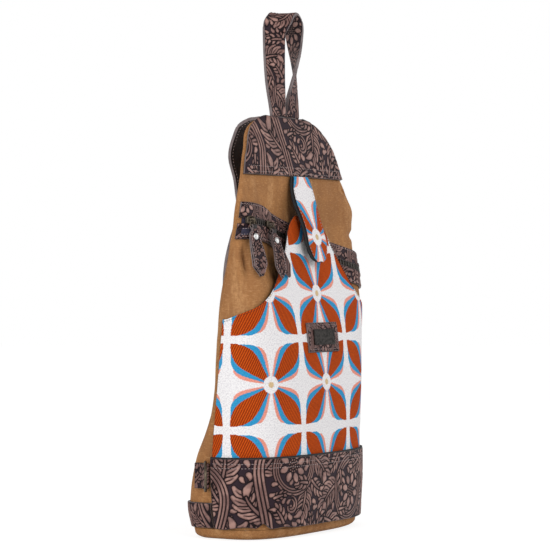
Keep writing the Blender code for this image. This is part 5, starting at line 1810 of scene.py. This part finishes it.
class BAG_OT_stage(bpy.types.Operator):
    """Sets the camera, the lamps and the white floor"""

    bl_idname = "bag.stage"
    bl_label = "Stage"

    def execute(self, context):
        context.scene.view_settings.view_transform = "Standard"
        self.make_camera(context.scene)
        self.make_lamps()
        self.make_floor()
        self.make_world(context.scene)
        return {"FINISHED"}

    def make_camera(self, scene):
        data = bpy.data.cameras.new("photo_camera")
        data.sensor_width = 36.0
        data.lens = LENS_PIXELS / PICTURE * data.sensor_width
        data.shift_x = SHIFT_PIXELS / PICTURE
        back = Vector((math.sin(CAMERA_TURN), -math.cos(CAMERA_TURN), 0.0))
        scene.camera = set_up("photo_camera", data,
                              back * CAMERA_REACH + Vector((0.0, 0.0, CAMERA_HEIGHT)), -back)

    def make_lamps(self):
        for name, place, size, power in (("key_lamp", (-1.3, -2.3, 1.5), 1.2, 24.0),
                                         ("side_lamp", (-2.6, 0.2, 0.9), 1.4, 28.0),
                                         ("fill_lamp", (1.6, -1.6, 0.7), 1.6, 8.0)):
            data = bpy.data.lights.new(name, "AREA")
            data.shape = "DISK"
            data.size = size
            data.energy = power
            set_up(name, data, place, LAMP_AIM - Vector(place))

    def make_floor(self):
        """A floor that the camera sees as white paper, with the bag's soft shadow on it."""
        bm = bmesh.new()
        bmesh.ops.create_circle(bm, cap_ends=True, segments=64, radius=6.0)
        bmesh.ops.translate(bm, vec=(0.0, 0.0, -0.0002), verts=bm.verts)
        material = bpy.data.materials.new("white_floor")
        material.use_nodes = True
        material.node_tree.nodes.clear()
        tree = Tree(material.node_tree)
        path = tree.add("ShaderNodeLightPath").outputs
        seen = tree.math("MAXIMUM", path["Is Camera Ray"],
                         tree.math("MAXIMUM", path["Is Glossy Ray"], path["Is Transmission Ray"]))
        glow = tree.add("ShaderNodeEmission", {"Color": rgb((1.0, 1.0, 1.0)), "Strength": 0.82})
        paper = tree.add("ShaderNodeBsdfDiffuse", {"Color": rgb((0.30, 0.30, 0.30))})
        plain = tree.add("ShaderNodeBsdfDiffuse", {"Color": rgb((0.75, 0.75, 0.75))})
        both = tree.add("ShaderNodeAddShader", {0: glow.outputs[0], 1: paper.outputs[0]})
        pick = tree.add("ShaderNodeMixShader", {0: seen, 1: plain.outputs[0], 2: both.outputs[0]})
        tree.add("ShaderNodeOutputMaterial", {"Surface": pick.outputs[0]})
        FINISHES["floor"] = material
        floor = object_from("floor", bm, ["floor"])

    def make_world(self, scene):
        world = bpy.data.worlds.new("white_room")
        world.use_nodes = True
        scene.world = world
        tree = Tree(world.node_tree)
        back = world.node_tree.nodes["Background"].inputs
        back["Color"].default_value = rgb((1.0, 1.0, 1.0))
        path = tree.add("ShaderNodeLightPath").outputs
        seen = tree.math("MAXIMUM", path["Is Camera Ray"], path["Is Transmission Ray"])
        strength = tree.add("ShaderNodeMapRange", {0: seen, 3: 0.62, 4: 1.0}).outputs[0]
        tree.feed(back["Strength"], strength)


class BAG_PT_panel(bpy.types.Panel):
    """Lists the backpack's sizes, colours and operators"""

    bl_label = "Sling backpack"
    bl_idname = "BAG_PT_panel"
    bl_space_type = "VIEW_3D"
    bl_region_type = "UI"
    bl_category = "Sling backpack"

    def draw(self, context):
        for group in (context.scene.bag_sizes, context.scene.bag_colours):
            for name in group.bl_rna.properties.keys():
                if name not in ("rna_type", "name"):
                    self.layout.prop(group, name)
        for operator in OPERATORS:
            self.layout.operator(operator.bl_idname)


OPERATORS = (BAG_OT_finishes, BAG_OT_stage, BAG_OT_canvas, BAG_OT_pocket, BAG_OT_leather,
             BAG_OT_straps, BAG_OT_zip, BAG_OT_label, BAG_OT_hardware)
CLASSES = (BagSizes, BagColours) + OPERATORS + (BAG_PT_panel,)


def register():
    for item in CLASSES:
        bpy.utils.register_class(item)
    bpy.types.Scene.bag_sizes = bpy.props.PointerProperty(type=BagSizes)
    bpy.types.Scene.bag_colours = bpy.props.PointerProperty(type=BagColours)


def unregister():
    del bpy.types.Scene.bag_colours
    del bpy.types.Scene.bag_sizes
    for item in reversed(CLASSES):
        bpy.utils.unregister_class(item)


def main():
    register()
    bpy.ops.bag.finishes()
    bpy.ops.bag.stage()
    bpy.ops.bag.canvas()
    bpy.ops.bag.pocket()
    bpy.ops.bag.leather()
    bpy.ops.bag.straps()
    bpy.ops.bag.zip()
    bpy.ops.bag.label()
    bpy.ops.bag.hardware()


if __name__ == "__main__":
    main()
